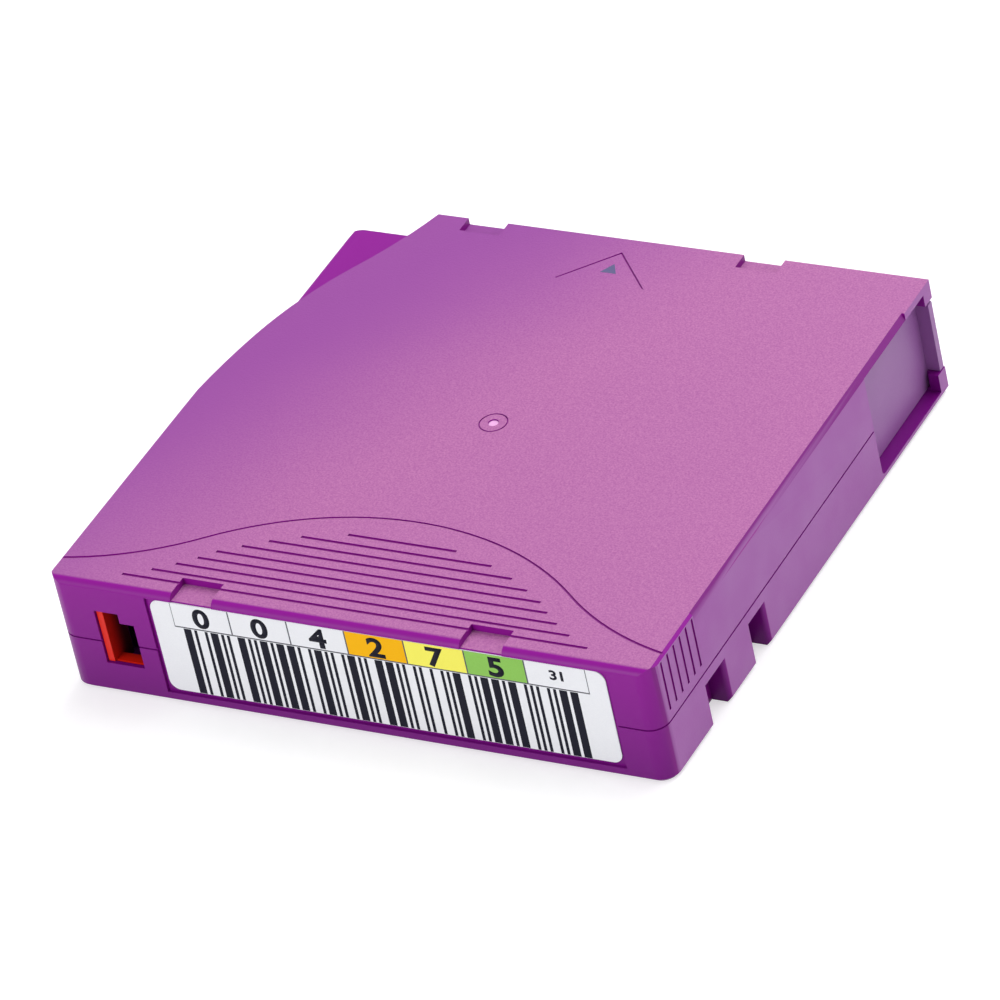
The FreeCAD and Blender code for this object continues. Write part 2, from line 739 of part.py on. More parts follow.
def cut_top_marks(body):
    """Grip grooves, sweeping groove, arrow and gate mark on the top, and the side grooves."""
    half_lengths = (40.6, 36.5, 33.3, 30.6, 28.4, 25.0, 21.3, 16.7, 9.5)
    grooves = []
    for index, half_length in enumerate(half_lengths):
        middle = f"front + groove_start + {index} * groove_pitch"
        grooves.append(box_loop(str(-half_length), str(half_length),
                                f"{middle} - groove_width / 2", f"{middle} + groove_width / 2"))
    first = grooves.pop(0)
    middle_piece = box_loop("notch_left + notch_width / 2 - 0.1", "notch_right - notch_width / 2 + 0.1",
                            first[0][1], first[2][1])
    left_piece = box_loop(first[0][0], "notch_left - notch_width / 2 + 0.1", first[0][1], first[2][1])
    right_piece = box_loop("notch_right + notch_width / 2 - 0.1", first[1][0], first[0][1], first[2][1])
    pocket(body, "GripGrooves", "XY_Plane", "case_height",
           grooves + [left_piece, middle_piece, right_piece], "groove_sink")
    pocket(body, "SweepGroove", "XY_Plane", "case_height", [sweep_loop()], "sweep_sink")
    half = "arrow_line"
    arrow = [
        ("-arrow_half_width", "entry - arrow_base_reach"), ("0", "entry - arrow_tip_reach"),
        ("arrow_half_width", "entry - arrow_base_reach"),
        (f"arrow_half_width - {half}", "entry - arrow_base_reach"),
        ("0", f"entry - arrow_tip_reach - {half} * 1.3"),
        (f"-arrow_half_width + {half}", "entry - arrow_base_reach"),
    ]
    pocket(body, "ArrowLine", "XY_Plane", "case_height", [arrow], "sweep_sink")
    gate = [("0", "reel_offset", "gate_ring_radius"), ("0", "reel_offset", "gate_ring_radius - 0.25"),
            ("0", "reel_offset", "gate_dot_radius")]
    pocket(body, "GateMark", "XY_Plane", "case_height", gate, "0.2")
    rows = []
    for index in range(6):
        middle = f"front + groove_start + 0.2 + {index} * groove_pitch"
        rows.append(box_loop(f"{middle} - groove_width / 2", f"{middle} + groove_width / 2",
                             "side_groove_base", "case_height - edge_round - 0.25"))
    pocket(body, "RightSideGrooves", "YZ_Plane", "right", rows, "groove_sink")
    pocket(body, "LeftSideGrooves", "YZ_Plane", "left", rows, "groove_sink", back=True)


def sweep_loop():
    """The sweeping groove: a middle arc over the grip grooves and a counter arc to each side."""
    half = "sweep_width / 2"
    rise = "(sweep_top_reach - sweep_turn_reach)"
    middle_radius = f"((sweep_turn_x ^ 2 + {rise} ^ 2) / (2 * {rise}))"
    side_radius = "48.7"
    edge = "right + 0.5"
    low = [
        (f"-({edge})", f"front + sweep_edge_reach - {half}", f"{side_radius} + {half}", "right"),
        ("-sweep_turn_x", f"front + sweep_turn_reach - {half}", f"{middle_radius} - {half}", "left"),
        ("sweep_turn_x", f"front + sweep_turn_reach - {half}", f"{side_radius} + {half}", "right"),
        (edge, f"front + sweep_edge_reach - {half}"),
    ]
    high = [
        (edge, f"front + sweep_edge_reach + {half}", f"{side_radius} - {half}", "left"),
        ("sweep_turn_x", f"front + sweep_turn_reach + {half}", f"{middle_radius} + {half}", "right"),
        ("-sweep_turn_x", f"front + sweep_turn_reach + {half}", f"{side_radius} - {half}", "left"),
        (f"-({edge})", f"front + sweep_edge_reach + {half}"),
    ]
    return low + high


def make_bottom_shell():
    """Lower half of the case: floor with the hub opening, gripper notches, guides and posts."""
    body = make_body("bottom_shell")
    block = pad(body, "BottomBlock", "XY_Plane", "0", [case_outline("0")], "parting_level")
    fillet_uprights(body, "BottomLabelCorners", block, [("left", "front"), ("right", "front")],
                    "label_corner")
    fillet_uprights(body, "BottomEntryCorner", body.Tip, [("left", "entry")], "entry_corner")
    bevel_rim(body, "BottomBevel", body.Tip, "0", "edge_bevel")
    pocket(body, "BottomCavity", "XY_Plane", "parting_level", [case_outline("side_wall")],
           "parting_level - floor_plate")
    add_bottom_inside(body)
    cut_bottom_openings(body)
    return body


def add_bottom_inside(body):
    """Notch boxes, guards, guides, cradle, seats and screw posts inside the lower shell."""
    boxes = []
    for low, high in grip_spans():
        boxes += mirrored_loops(box_loop("right - grip_sink - grip_wall", "inner_right + 0.2",
                                         f"{low} - grip_wall", f"{high} + grip_wall"))
    pad(body, "NotchBoxes", "XY_Plane", "floor_plate - 0.2", boxes,
        "grip_height + grip_wall - floor_plate + 0.2")
    pad(body, "FloorGuards", "XY_Plane", "floor_plate - 0.2", reel_guard_loops(), "6.0")
    shelf = box_loop("inner_left - 0.2", "window_right + 4.4", "inner_front - 0.2",
                     "tab_rear + tab_clearance + 1.0")
    pad(body, "TabShelf", "XY_Plane", "floor_plate - 0.2", [shelf], "tab_base - 0.1 - floor_plate + 0.2")
    fence = box_loop("inner_left - 0.2", "window_left + 0.5", "tab_rear + tab_clearance",
                     "tab_rear + tab_clearance + 1.0")
    pad(body, "TabFence", "XY_Plane", "tab_base - 0.2", [fence], "parting_level - tab_base + 0.2")
    rail = box_loop("tab_ridge_right + tab_travel + tab_clearance", "window_right + 4.4",
                    "tab_front + tab_floor_depth + tab_clearance",
                    "tab_front + tab_floor_depth + tab_clearance + 0.8")
    pad(body, "TabRail", "XY_Plane", "tab_base - 0.2", [rail], "1.0")
    cradle = sector_loop("pin_collar_radius + 0.15", "pin_collar_radius + 1.1", "pin_x", "pin_y",
                         100, 260)
    pad(body, "PinFloorCradle", "XY_Plane", "floor_plate - 0.2", [cradle],
        "pin_play + pin_collar + 0.2")
    pad(body, "PinSpringFloorRib", "XY_Plane", "floor_plate - 0.2", [pin_spring_rib()],
        "parting_level - floor_plate + 0.2")
    pad(body, "SpringFloorSeat", "XY_Plane", "floor_plate - 0.2", [spring_seat_loop()],
        "parting_level - floor_plate + 0.2")
    rib = box_loop("recess_face - door_clearance", "inner_right + 0.2",
                   "door_rear + 1.3", "door_rear + 2.5")
    pad(body, "BottomDoorStop", "XY_Plane", "floor_plate - 0.2", [rib],
        "parting_level - floor_plate + 0.2")
    add_board_ribs(body)
    add_datum_holes(body)
    posts = [(x, y, "post_radius") for x, y in SCREW_PLACES.values()]
    pad(body, "ScrewPosts", "XY_Plane", "floor_plate - 0.2", posts,
        "parting_level - floor_plate + 0.2")
    holes = [(x, y, "screw_hole_radius") for x, y in SCREW_PLACES.values()]
    pocket(body, "ScrewHoles", "XY_Plane", "parting_level", holes, "parting_level + 1")
    head_holes = [(x, y, "screw_head_hole_radius") for x, y in SCREW_PLACES.values()]
    pocket(body, "ScrewHeadHoles", "XY_Plane", "0", head_holes, "screw_seat", back=True)


def add_datum_holes(body):
    """The round datum hole at the right and the long one at the left, blind from below."""
    y = "entry - datum_reach"
    round_x = "right - datum_inset"
    long_x = "left + datum_inset"
    wall = "1.2"
    bump = [(round_x, y, f"datum_radius + {wall}")]
    pad(body, "RoundDatumBoss", "XY_Plane", "floor_plate - 0.2", bump,
        "datum_sink + 1.2 - floor_plate + 0.2")
    long_boss = slot_loop(long_x, y, "datum_slot", f"datum_radius + {wall}")
    pad(body, "LongDatumBoss", "XY_Plane", "floor_plate - 0.2", [long_boss],
        "datum_sink + 1.2 - floor_plate + 0.2")
    pocket(body, "RoundDatum", "XY_Plane", "0", [(round_x, y, "datum_radius")], "datum_sink",
           back=True)
    pocket(body, "LongDatum", "XY_Plane", "0", [slot_loop(long_x, y, "datum_slot", "datum_radius")],
           "datum_sink", back=True)


def slot_loop(x, y, stretch, radius):
    """A slot along X: two half circles joined by straight sides."""
    return [
        (f"{x} - {stretch} / 2", f"{y} - ({radius})"),
        (f"{x} + {stretch} / 2", f"{y} - ({radius})", radius, "right"),
        (f"{x} + {stretch} / 2 + {radius}", y, radius, "right"),
        (f"{x} + {stretch} / 2", f"{y} + {radius}"),
        (f"{x} - {stretch} / 2", f"{y} + {radius}", radius, "right"),
        (f"{x} - {stretch} / 2 - ({radius})", y, radius, "right"),
    ]


def board_middle():
    """The memory board's long-side middle: halfway up the slope between the floor and left wall."""
    run = "board_width * cos(board_tilt * 1deg) / 2"
    rise = "board_width * sin(board_tilt * 1deg) / 2"
    return f"(inner_left + 1.0 + {run})", f"(floor_plate + 0.9 + {rise})"


def add_board_ribs(body):
    """Two sloping ribs that the memory board leans on."""
    for name, place in (("Near", "2.0"), ("Far", "board_length - 3.0")):
        slope = [
            ("inner_left - 0.2", "floor_plate - 0.2"),
            ("inner_left + 1.0 + board_width * cos(board_tilt * 1deg)", "floor_plate - 0.2"),
            ("inner_left + 1.0 + board_width * cos(board_tilt * 1deg)", "floor_plate + 0.4"),
            ("inner_left + 0.4", "floor_plate + 0.4 + board_width * sin(board_tilt * 1deg) + 0.6"),
            ("inner_left - 0.2", "floor_plate + 0.4 + board_width * sin(board_tilt * 1deg) + 0.6"),
        ]
        pad(body, f"Board{name}Rib", "XZ_Plane", f"-(board_low_y + {place})", [slope], "1.0", back=True)


def cut_bottom_openings(body):
    """Hub opening, door recess and slot, gripper notches, label seat, window and the seam."""
    pocket(body, "HubOpening", "XY_Plane", "0", [("0", "reel_offset", "hub_opening_radius")],
           "floor_plate + 1", back=True)
    recess = [
        ("recess_front + 1.0", "door_floor"), ("entry - lug_length", "door_floor"),
        ("entry - lug_length", "lug_low_top"), ("entry + 1", "lug_low_top"),
        ("entry + 1", "parting_level + 1"), ("recess_front", "parting_level + 1"),
        ("recess_front", "door_floor + 1.0", "1.0", "right"),
    ]
    pocket(body, "BottomDoorRecess", "YZ_Plane", "right + 1", [recess], "door_recess_sink + 1")
    slot = box_loop("slot_inner", "recess_face", "door_rear - door_travel - 4", "entry + 1")
    pocket(body, "BottomDoorSlot", "XY_Plane", "parting_level + 1", [slot],
           "parting_level + 1 - door_floor")
    notches = []
    for low, high in grip_spans():
        notches += mirrored_loops(box_loop("right - grip_sink", "right + 1", low, high))
    pocket(body, "GripperNotches", "XY_Plane", "-1", notches, "grip_height + 1", back=True)
    lips = [(side, high) for side in ("left", "right") for _, high in grip_spans()]
    fillet_uprights(body, "NotchLips", body.Tip, lips, "grip_round")
    cut_label_seat(body, "Bottom", "label_base - label_margin", "parting_level + 1")
    window = box_loop("window_left", "window_right", "window_base", "parting_level + 1")
    pocket(body, "BottomWindow", "XZ_Plane", "-(front) + 1", [window], "side_wall + 1.1")
    pocket(body, "BottomWindowSkin", "XZ_Plane", "-(front + window_skin)",
           [tab_room_loop("tab_base - 0.1", "parting_level + 1")], "side_wall + 0.1")
    seam = [case_outline("-1"), seam_outline("seam_depth")]
    pocket(body, "Seam", "XY_Plane", "parting_level", seam, "seam_width")


def make_label():
    """The adhesive label across the label end."""
    body = make_body("barcode_label")
    half = "label_width / 2"
    outline = round_loop(f"label_centre - {half}", f"label_centre + {half}",
                         "label_base", "label_top", "label_round")
    pad(body, "LabelSheet", "XZ_Plane", "-(front + label_seat_sink - label_glue)", [outline], "label_sheet")
    return body


def make_write_protect_tab():
    """The slider behind the window: a block with a finger ridge, and a floor under the opening."""
    body = make_body("write_protect_tab")
    block = box_loop("tab_low", "tab_ridge_right", "tab_front", "tab_rear")
    pad(body, "TabBlock", "XY_Plane", "tab_base", [block], "tab_top - tab_base")
    floor = box_loop("tab_low", "tab_high", "tab_front", "tab_front + tab_floor_depth")
    pad(body, "TabFloor", "XY_Plane", "tab_base", [floor], "tab_floor - tab_base")
    ridge = box_loop("tab_ridge_left", "tab_ridge_right", "front + 0.4", "tab_front + 0.2")
    pad(body, "TabRidge", "XY_Plane", "tab_floor", [ridge], "window_top - 0.2 - tab_floor")
    return body


# ---------------------------------------------------------------------------------------------
# Door
# ---------------------------------------------------------------------------------------------

def make_access_door():
    """The sliding door: a flat panel with a flange turned out at its leading edge and a rear hook."""
    body = make_body("access_door")
    panel = box_loop("door_inner", "door_outer", "door_rear", "entry - 0.15")
    pad(body, "DoorPanel", "XY_Plane", "door_floor + door_clearance", [panel],
        "case_height - 2 * door_floor - 2 * door_clearance")
    flange = box_loop("door_outer - 0.2", "right - 0.15", "entry - 1.45", "entry - 0.15")
    pad(body, "DoorFlange", "XY_Plane", "door_flange_base", [flange],
        "door_flange_top - door_flange_base")
    hook = box_loop("door_outer - 0.2", "inner_right - 0.15", "door_rear", "door_rear + 1.2")
    pad(body, "DoorHook", "XY_Plane", "floor_plate + 1.0", [hook], "ceiling - floor_plate - 2.0")
    pad(body, "DoorSpringPin", "XZ_Plane", "-(door_rear + 0.2)",
        [("door_spring_x", "door_spring_z", "0.45")], "3.2")
    return body


# ---------------------------------------------------------------------------------------------
# Reel, brake and release
# ---------------------------------------------------------------------------------------------

TOOTH_TURN = "1deg * 180 / tooth_count"

# Where the middle of each coil's end sections lies, along the coil's own axis.
COIL_SPANS = {
    "brake_spring": ("button_top + brake_spring_wire / 2 + 0.1",
                     "ceiling - brake_spring_wire / 2 - 0.1"),
    "door_spring": ("spring_seat + door_spring_wire / 2 + 0.05",
                    "door_rear - door_spring_wire / 2 - 0.05"),
}


def add_teeth(body, name, inner, outer, root, direction):
    """A ring of face teeth: one wedge lofted outwards, then spread about the axis."""
    root_angle = "tooth_root_share * 180 / tooth_count"
    tip_angle = "tooth_tip_share * 180 / tooth_count"
    sunk_angle = f"({root_angle} + ({root_angle} - {tip_angle}) * tooth_sink / tooth_height)"
    sketches = []
    for place, radius in (("Inner", inner), ("Outer", outer)):
        sketch = new_sketch(body, name + place, "YZ_Plane", radius)
        low = f"{root} - ({direction}) * tooth_sink"
        high = f"{root} + ({direction}) * tooth_height"
        half_root = f"{radius} * tan(1deg * {sunk_angle})"
        half_tip = f"{radius} * tan(1deg * {tip_angle})"
        add_loop(sketch, [(f"-{half_root}", low), (half_root, low),
                          (half_tip, high), (f"-{half_tip}", high)])
        sketches.append(sketch)
    before = body.Shape.Volume
    tooth = body.newObject("PartDesign::AdditiveLoft", name + "Tooth")
    tooth.Profile = sketches[0]
    tooth.Sections = [sketches[1]]
    tooth.Ruled = True
    check_step(body, tooth, before, True)
    polar(body, name + "Ring", tooth, "tooth_count")


def make_reel_hub():
    """Hub cup, lower flange and foot ring in one moulding, with drive and brake teeth."""
    body = make_body("reel_hub", y="reel_offset", turn=TOOTH_TURN)
    foot_base = "(floor_plate + foot_clearance)"
    revolve(body, "HubCup", [
        ("0", "hub_floor_base"), ("foot_inner_radius", "hub_floor_base"),
        ("foot_inner_radius", foot_base), ("foot_outer_radius", foot_base),
        ("foot_outer_radius", "lower_flange_base"), ("flange_radius", "lower_flange_base"),
        ("flange_radius", "flange_top"), ("hub_radius", "flange_top"), ("hub_radius", "hub_top"),
        ("hub_bore_radius", "hub_top"), ("hub_bore_radius", "hub_floor_top"), ("0", "hub_floor_top"),
    ])
    hole = pocket(body, "LegHole", "XY_Plane", "hub_floor_top",
                  [("leg_circle", "0", "leg_radius + leg_clearance")], "hub_floor_plate + 1")
    polar(body, "LegHoles", hole, "3")
    add_teeth(body, "Drive", "gear_inner_radius", "gear_outer_radius", "hub_floor_base", "-1")
    add_teeth(body, "Brake", "brake_inner_radius", "brake_outer_radius", "hub_floor_top", "1")
    return body


def make_upper_flange():
    """The upper flange, welded on the hub's rim, with a spigot inside the bore."""
    body = make_body("upper_flange", y="reel_offset")
    spigot = "hub_bore_radius - 0.1"
    revolve(body, "FlangeDisc", [
        (f"{spigot} - 1.2", "hub_top - 1.6"), (spigot, "hub_top - 1.6"), (spigot, "hub_top"),
        ("flange_radius", "hub_top"), ("flange_radius", "hub_top + flange_sheet"),
        (f"{spigot} - 1.2", "hub_top + flange_sheet"),
    ])
    return body


def make_reel_plate():
    """The steel plate under the hub floor that the drive's magnet holds."""
    body = make_body("reel_plate", y="reel_offset")
    pad(body, "PlateDisc", "XY_Plane", "hub_floor_base - plate_sheet",
        [("0", "0", "plate_radius"), ("0", "0", "plate_hole_radius")], "plate_sheet")
    return body


def make_tape_pack():
    """The wound tape as one ring between the flanges."""
    body = make_body("tape_pack", y="reel_offset")
    pad(body, "PackRing", "XY_Plane", "tape_base",
        [("0", "0", "tape_radius"), ("0", "0", "hub_radius")], "tape_width")
    return body


def make_brake_button():
    """The brake button: a disc with teeth below and a boss that slides on the shell's key."""
    body = make_body("brake_button", y="reel_offset")
    boss_top = "(button_top + button_boss_height)"
    revolve(body, "ButtonDisc", [
        ("0", "button_base"), ("button_radius", "button_base"), ("button_radius", "button_top"),
        ("button_boss_radius", "button_top"), ("button_boss_radius", boss_top), ("0", boss_top),
    ])
    half_key = "(key_length / 2 + key_clearance)"
    half_web = "(key_width / 2 + key_clearance)"
    cross = [
        (half_web, f"-{half_key}"), (half_web, f"-{half_web}"), (half_key, f"-{half_web}"),
        (half_key, half_web), (half_web, half_web), (half_web, half_key),
        (f"-{half_web}", half_key), (f"-{half_web}", half_web), (f"-{half_key}", half_web),
        (f"-{half_key}", f"-{half_web}"), (f"-{half_web}", f"-{half_web}"),
        (f"-{half_web}", f"-{half_key}"),
    ]
    pocket(body, "KeySlot", "XY_Plane", boss_top, [cross], "button_boss_height + 0.2")
    add_teeth(body, "Lock", "brake_inner_radius", "brake_outer_radius", "button_base", "-1")
    return body


def make_release_spider():
    """The release spider: a small hub, three arms and three legs through the hub floor."""
    body = make_body("release_spider", y="reel_offset", turn=TOOTH_TURN)
    base = "hub_floor_top + brake_play"
    pad(body, "SpiderHub", "XY_Plane", base, [("0", "0", "spider_hub_radius")], "spider_plate")
    arm = pad(body, "SpiderArm", "XY_Plane", base,
              [box_loop("0", "leg_circle", "-spider_arm_width / 2", "spider_arm_width / 2")],
              "spider_plate")
    polar(body, "SpiderArms", arm, "3")
    leg = pad(body, "SpiderLeg", "XY_Plane", "gear_tip", [("leg_circle", "0", "leg_radius")],
              f"{base} + spider_plate - gear_tip")
    polar(body, "SpiderLegs", leg, "3")
    return body


def coil_solid(name):
    """A coil about Z from the origin, with its length between the end sections' middles.

    The wire's section is a polygon carried along a helix of straight steps, mitred where they meet.
    """
    radius, wire = value(f"{name}_radius"), value(f"{name}_wire")
    turns, steps = int(value(f"{name}_turns")), int(value(f"{name}_steps"))
    sides = int(value(f"{name}_sides"))
    length = value(COIL_SPANS[name][1]) - value(COIL_SPANS[name][0])

    def on_helix(step):
        angle = 2 * math.pi * step / steps
        return FreeCAD.Vector(radius * math.cos(angle), radius * math.sin(angle),
                              length * step / (steps * turns))

    path = Part.makePolygon([on_helix(step) for step in range(steps * turns + 1)])
    heading = (on_helix(1) - on_helix(0)).normalize()
    across = FreeCAD.Vector(1, 0, 0)
    across = (across - heading * across.dot(heading)).normalize()
    upward = heading.cross(across)
    rim = [on_helix(0) + across * (wire / 2 * math.cos(2 * math.pi * side / sides))
           + upward * (wire / 2 * math.sin(2 * math.pi * side / sides)) for side in range(sides)]
    solid = path.makePipeShell([Part.makePolygon(rim + rim[:1])], True, False, 1)
    section = sides / 2 * (wire / 2) ** 2 * math.sin(2 * math.pi / sides)
    expected = section * path.Length
    if abs(solid.Volume - expected) > 0.03 * expected:
        raise RuntimeError(f"{name} has {solid.Volume:.3f} mm3, expected {expected:.3f}")
    return solid


def place_coil(name, base, turn):
    """A spring as an object of the document, with its coil stood at its place."""
    spring = DOCUMENT.addObject("Part::Feature", name)
    spring.Label = name
    spring.Shape = coil_solid(name)
    spring.Placement = FreeCAD.Placement(base, turn)
    return spring


def make_brake_spring():
    """The compression spring that presses the brake button down."""
    base = FreeCAD.Vector(0, value("reel_offset"), value(COIL_SPANS["brake_spring"][0]))
    return place_coil("brake_spring", base, FreeCAD.Rotation())


def make_door_spring():
    """The long thin compression spring that closes the door."""
    base = FreeCAD.Vector(value("door_spring_x"), value(COIL_SPANS["door_spring"][0]),
                          value("door_spring_z"))
    return place_coil("door_spring", base, FreeCAD.Rotation(FreeCAD.Vector(1, 0, 0), -90))


# ---------------------------------------------------------------------------------------------
# Leader pin and leader
# ---------------------------------------------------------------------------------------------

def make_leader_pin():
    """The steel pin on the tape's free end: a shaft with an outer and an inner collar at each end."""
    body = make_body("leader_pin", x="pin_x", y="pin_y")
    low_groove = "(pin_base + pin_collar)"
    high_groove = "(pin_top - pin_collar)"
    revolve(body, "PinShaft", [
        ("0", "pin_base"), ("pin_collar_radius", "pin_base"), ("pin_collar_radius", low_groove),
        ("pin_radius", low_groove), ("pin_radius", f"{low_groove} + pin_groove"),
        ("pin_collar_radius", f"{low_groove} + pin_groove"),
        ("pin_collar_radius", "tape_base - 0.1"), ("pin_radius", "tape_base - 0.1"),
        ("pin_radius", "tape_top + 0.1"), ("pin_collar_radius", "tape_top + 0.1"),
        ("pin_collar_radius", f"{high_groove} - pin_groove"),
        ("pin_radius", f"{high_groove} - pin_groove"), ("pin_radius", high_groove),
        ("pin_collar_radius", high_groove), ("pin_collar_radius", "pin_top"), ("0", "pin_top"),
    ])
    return body


def make_leader_pin_clip():
    """The plastic clip that clamps the tape's end round the pin's shaft."""
    body = make_body("leader_pin_clip", x="pin_x", y="pin_y")
    pad(body, "ClipSleeve", "XY_Plane", "tape_base",
        [sector_loop("pin_radius", "clip_radius", "0", "0", -10, 120)], "tape_width")
    pad(body, "ClipSleeveRest", "XY_Plane", "tape_base",
        [sector_loop("pin_radius", "clip_radius", "0", "0", 115, 230)], "tape_width")
    return body


def leader_line():
    """The free run of tape: from the pack's rim to the clip, tangent to both."""
    axis = FreeCAD.Vector(0, value("reel_offset"), 0)
    pin = FreeCAD.Vector(value("pin_x"), value("pin_y"), 0)
    reach = value("clip_radius") + value("leader_sheet") / 2 + 0.05
    pack = value("tape_radius") + 0.1
    span = pin - axis
    along = math.atan2(span.y, span.x)
    turn = math.acos((pack - reach) / span.Length)
    outward = FreeCAD.Vector(math.cos(along - turn), math.sin(along - turn), 0)
    return axis + outward * pack, pin + outward * reach, outward


def make_tape_leader():
    """The stretch of tape between the pack and the pin, thicker than the real film."""
    start, finish, outward = leader_line()
    half = outward * (value("leader_sheet") / 2)
    corners = [start - half, finish - half, finish + half, start + half]
    for corner in corners:
        corner.z = value("tape_base")
    strip = Part.Face(Part.makePolygon(corners + corners[:1]))
    leader = DOCUMENT.addObject("Part::Feature", "tape_leader")
    leader.Label = "tape_leader"
    leader.Shape = strip.extrude(FreeCAD.Vector(0, 0, value("tape_width")))
    return leader


def make_pin_spring():
    """The folded steel strip that holds both ends of the leader pin in their cradles."""
    body = make_body("pin_retaining_spring", x="pin_x", y="pin_y")
    stand = "pin_spring_stand"
    sheet = "pin_spring_sheet"
    pad(body, "SpringBack", "XY_Plane", "pin_base + 0.1",
        [box_loop(f"-{stand}", f"-{stand} + {sheet}", "-2.5", "3.0")], "pin_top - pin_base - 0.2")
    hook = "(pin_radius + 0.15)"
    for name, low in (("Low", "pin_base + pin_collar + 0.2"),
                      ("High", "pin_top - pin_collar - pin_groove + 0.2")):
        arm = box_loop(f"-{stand} + 0.1", f"-{hook} - 0.1", "-2.5", f"-2.5 + {sheet}")
        pad(body, f"Spring{name}Arm", "XY_Plane", low, [arm], "pin_groove - 0.4")
        finger = sector_loop(hook, f"{hook} + {sheet}", "0", "0", 170, 262)
        pad(body, f"Spring{name}Finger", "XY_Plane", low, [finger], "pin_groove - 0.4")
        bridge = box_loop(f"-{hook} - {sheet}", f"-{hook}", "-2.5", "-0.1")
        pad(body, f"Spring{name}Bridge", "XY_Plane", low, [bridge], "pin_groove - 0.4")
    return body


# ---------------------------------------------------------------------------------------------
# Fasteners and memory
# ---------------------------------------------------------------------------------------------

def make_case_screws():
    """The four case screws, each a solid of its own, driven from below."""
    screws = []
    for name, (x, y) in SCREW_PLACES.items():
        body = make_body(name + "Screw", x=x, y=y)
        head_base = "(screw_seat - screw_head)"
        tip = "(screw_seat + screw_length)"
        revolve(body, name + "ScrewTurned", [
            ("0", head_base), ("screw_head_radius - 0.3", head_base),
            ("screw_head_radius", "screw_seat"), ("screw_radius", "screw_seat"),
            ("screw_radius", f"{tip} - 0.8"), ("0", tip),
        ])
        socket = [(f"0.95 * cos({angle}deg)", f"0.95 * sin({angle}deg)")
                  for angle in range(0, 360, 60)]
        pocket(body, name + "Socket", "XY_Plane", head_base, [socket], "0.9", back=True)
        screws.append(body)
    group = DOCUMENT.addObject("Part::Compound", "case_screws")
    group.Label = "case_screws"
    group.Links = screws
    DOCUMENT.recompute()
    return group


def lean(item, across, height):
    """Place a box on the memory board's slope, its corner moved across the slope and out of it."""
    middle_x, middle_z = board_middle()
    turned_x = f"({across}) * cos(board_tilt * 1deg) + ({height}) * sin(board_tilt * 1deg)"
    turned_z = f"({height}) * cos(board_tilt * 1deg) - ({across}) * sin(board_tilt * 1deg)"
    item.Placement = FreeCAD.Placement(FreeCAD.Vector(0, 0, 0),
                                       FreeCAD.Rotation(FreeCAD.Vector(0, 1, 0), 10))
    item.setExpression(".Placement.Rotation.Angle", bind("board_tilt * 1deg"))
    item.setExpression(".Placement.Base.x", bind(f"{middle_x} + {turned_x}"))
    item.setExpression(".Placement.Base.z", bind(f"{middle_z} + {turned_z}"))


def make_memory_board():
    """The small circuit board of the cartridge memory, leaning at the left of the label end."""
    board = DOCUMENT.addObject("Part::Box", "memory_board")
    board.Label = "memory_board"
    board.setExpression("Length", bind("board_width"))
    board.setExpression("Width", bind("board_length"))
    board.setExpression("Height", bind("board_sheet"))
    lean(board, "-board_width / 2", "0")
    board.setExpression(".Placement.Base.y", bind("board_low_y"))
    return board


def make_memory_chip():
    """The memory chip on the board."""
    chip = DOCUMENT.addObject("Part::Box", "memory_chip")
    chip.Label = "memory_chip"
    chip.setExpression("Length", bind("chip_side"))
    chip.setExpression("Width", bind("chip_side"))
    chip.setExpression("Height", bind("chip_height"))
    lean(chip, "-chip_side / 2", "board_sheet")
    chip.setExpression(".Placement.Base.y",
                       bind("board_low_y + board_length / 2 - chip_side / 2"))
    return chip


# ---------------------------------------------------------------------------------------------
# The whole cartridge
# ---------------------------------------------------------------------------------------------

MAKERS = (
    make_top_shell, make_bottom_shell, make_label, make_write_protect_tab, make_access_door,
    make_door_spring, make_reel_hub, make_upper_flange, make_reel_plate, make_tape_pack,
    make_brake_button, make_release_spider, make_brake_spring, make_leader_pin,
    make_leader_pin_clip, make_tape_leader, make_pin_spring, make_case_screws,
    make_memory_board, make_memory_chip,
)


def check_document():
    """Stop if any object of the document failed."""
    DOCUMENT.recompute()
    for item in DOCUMENT.Objects:
        if "Invalid" in item.State or "Error" in item.State:
            raise RuntimeError(f"{item.Label} is {item.State}")


def export(pieces):
    """Write each piece to its own STEP file, once all of them are sound."""
    for piece in pieces:
        if piece.Shape.isNull() or not piece.Shape.isValid() or not piece.Shape.Solids:
            raise RuntimeError(f"{piece.Label} has no sound solid")
    os.makedirs("parts", exist_ok=True)
    for piece in pieces:
        piece.Shape.exportStep(f"parts/{piece.Label}.step")
        print(f"{piece.Label}: {len(piece.Shape.Solids)} solid(s), {piece.Shape.Volume:.1f} mm3")


def main():
    """Build every piece, check the document and export."""
    pieces = [maker() for maker in MAKERS]
    check_document()
    export(pieces)


main()
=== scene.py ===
"""Looks of a half-inch data tape cartridge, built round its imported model.

The model's own nodes stay as they are and take worked-out materials here.  New pieces are what is
printed on the cartridge, which is the label's fields, figures and bars and the small direction
mark, and an upper shell with worked edges, which stands for the model's plain one.
Lengths are in metres in the model's frame: X across, Y from the label end to the entry end, Z up.
"""
import logging
import math
from dataclasses import dataclass
from typing import Union

import bmesh
import bpy
import numpy as np
from mathutils import Matrix, Vector


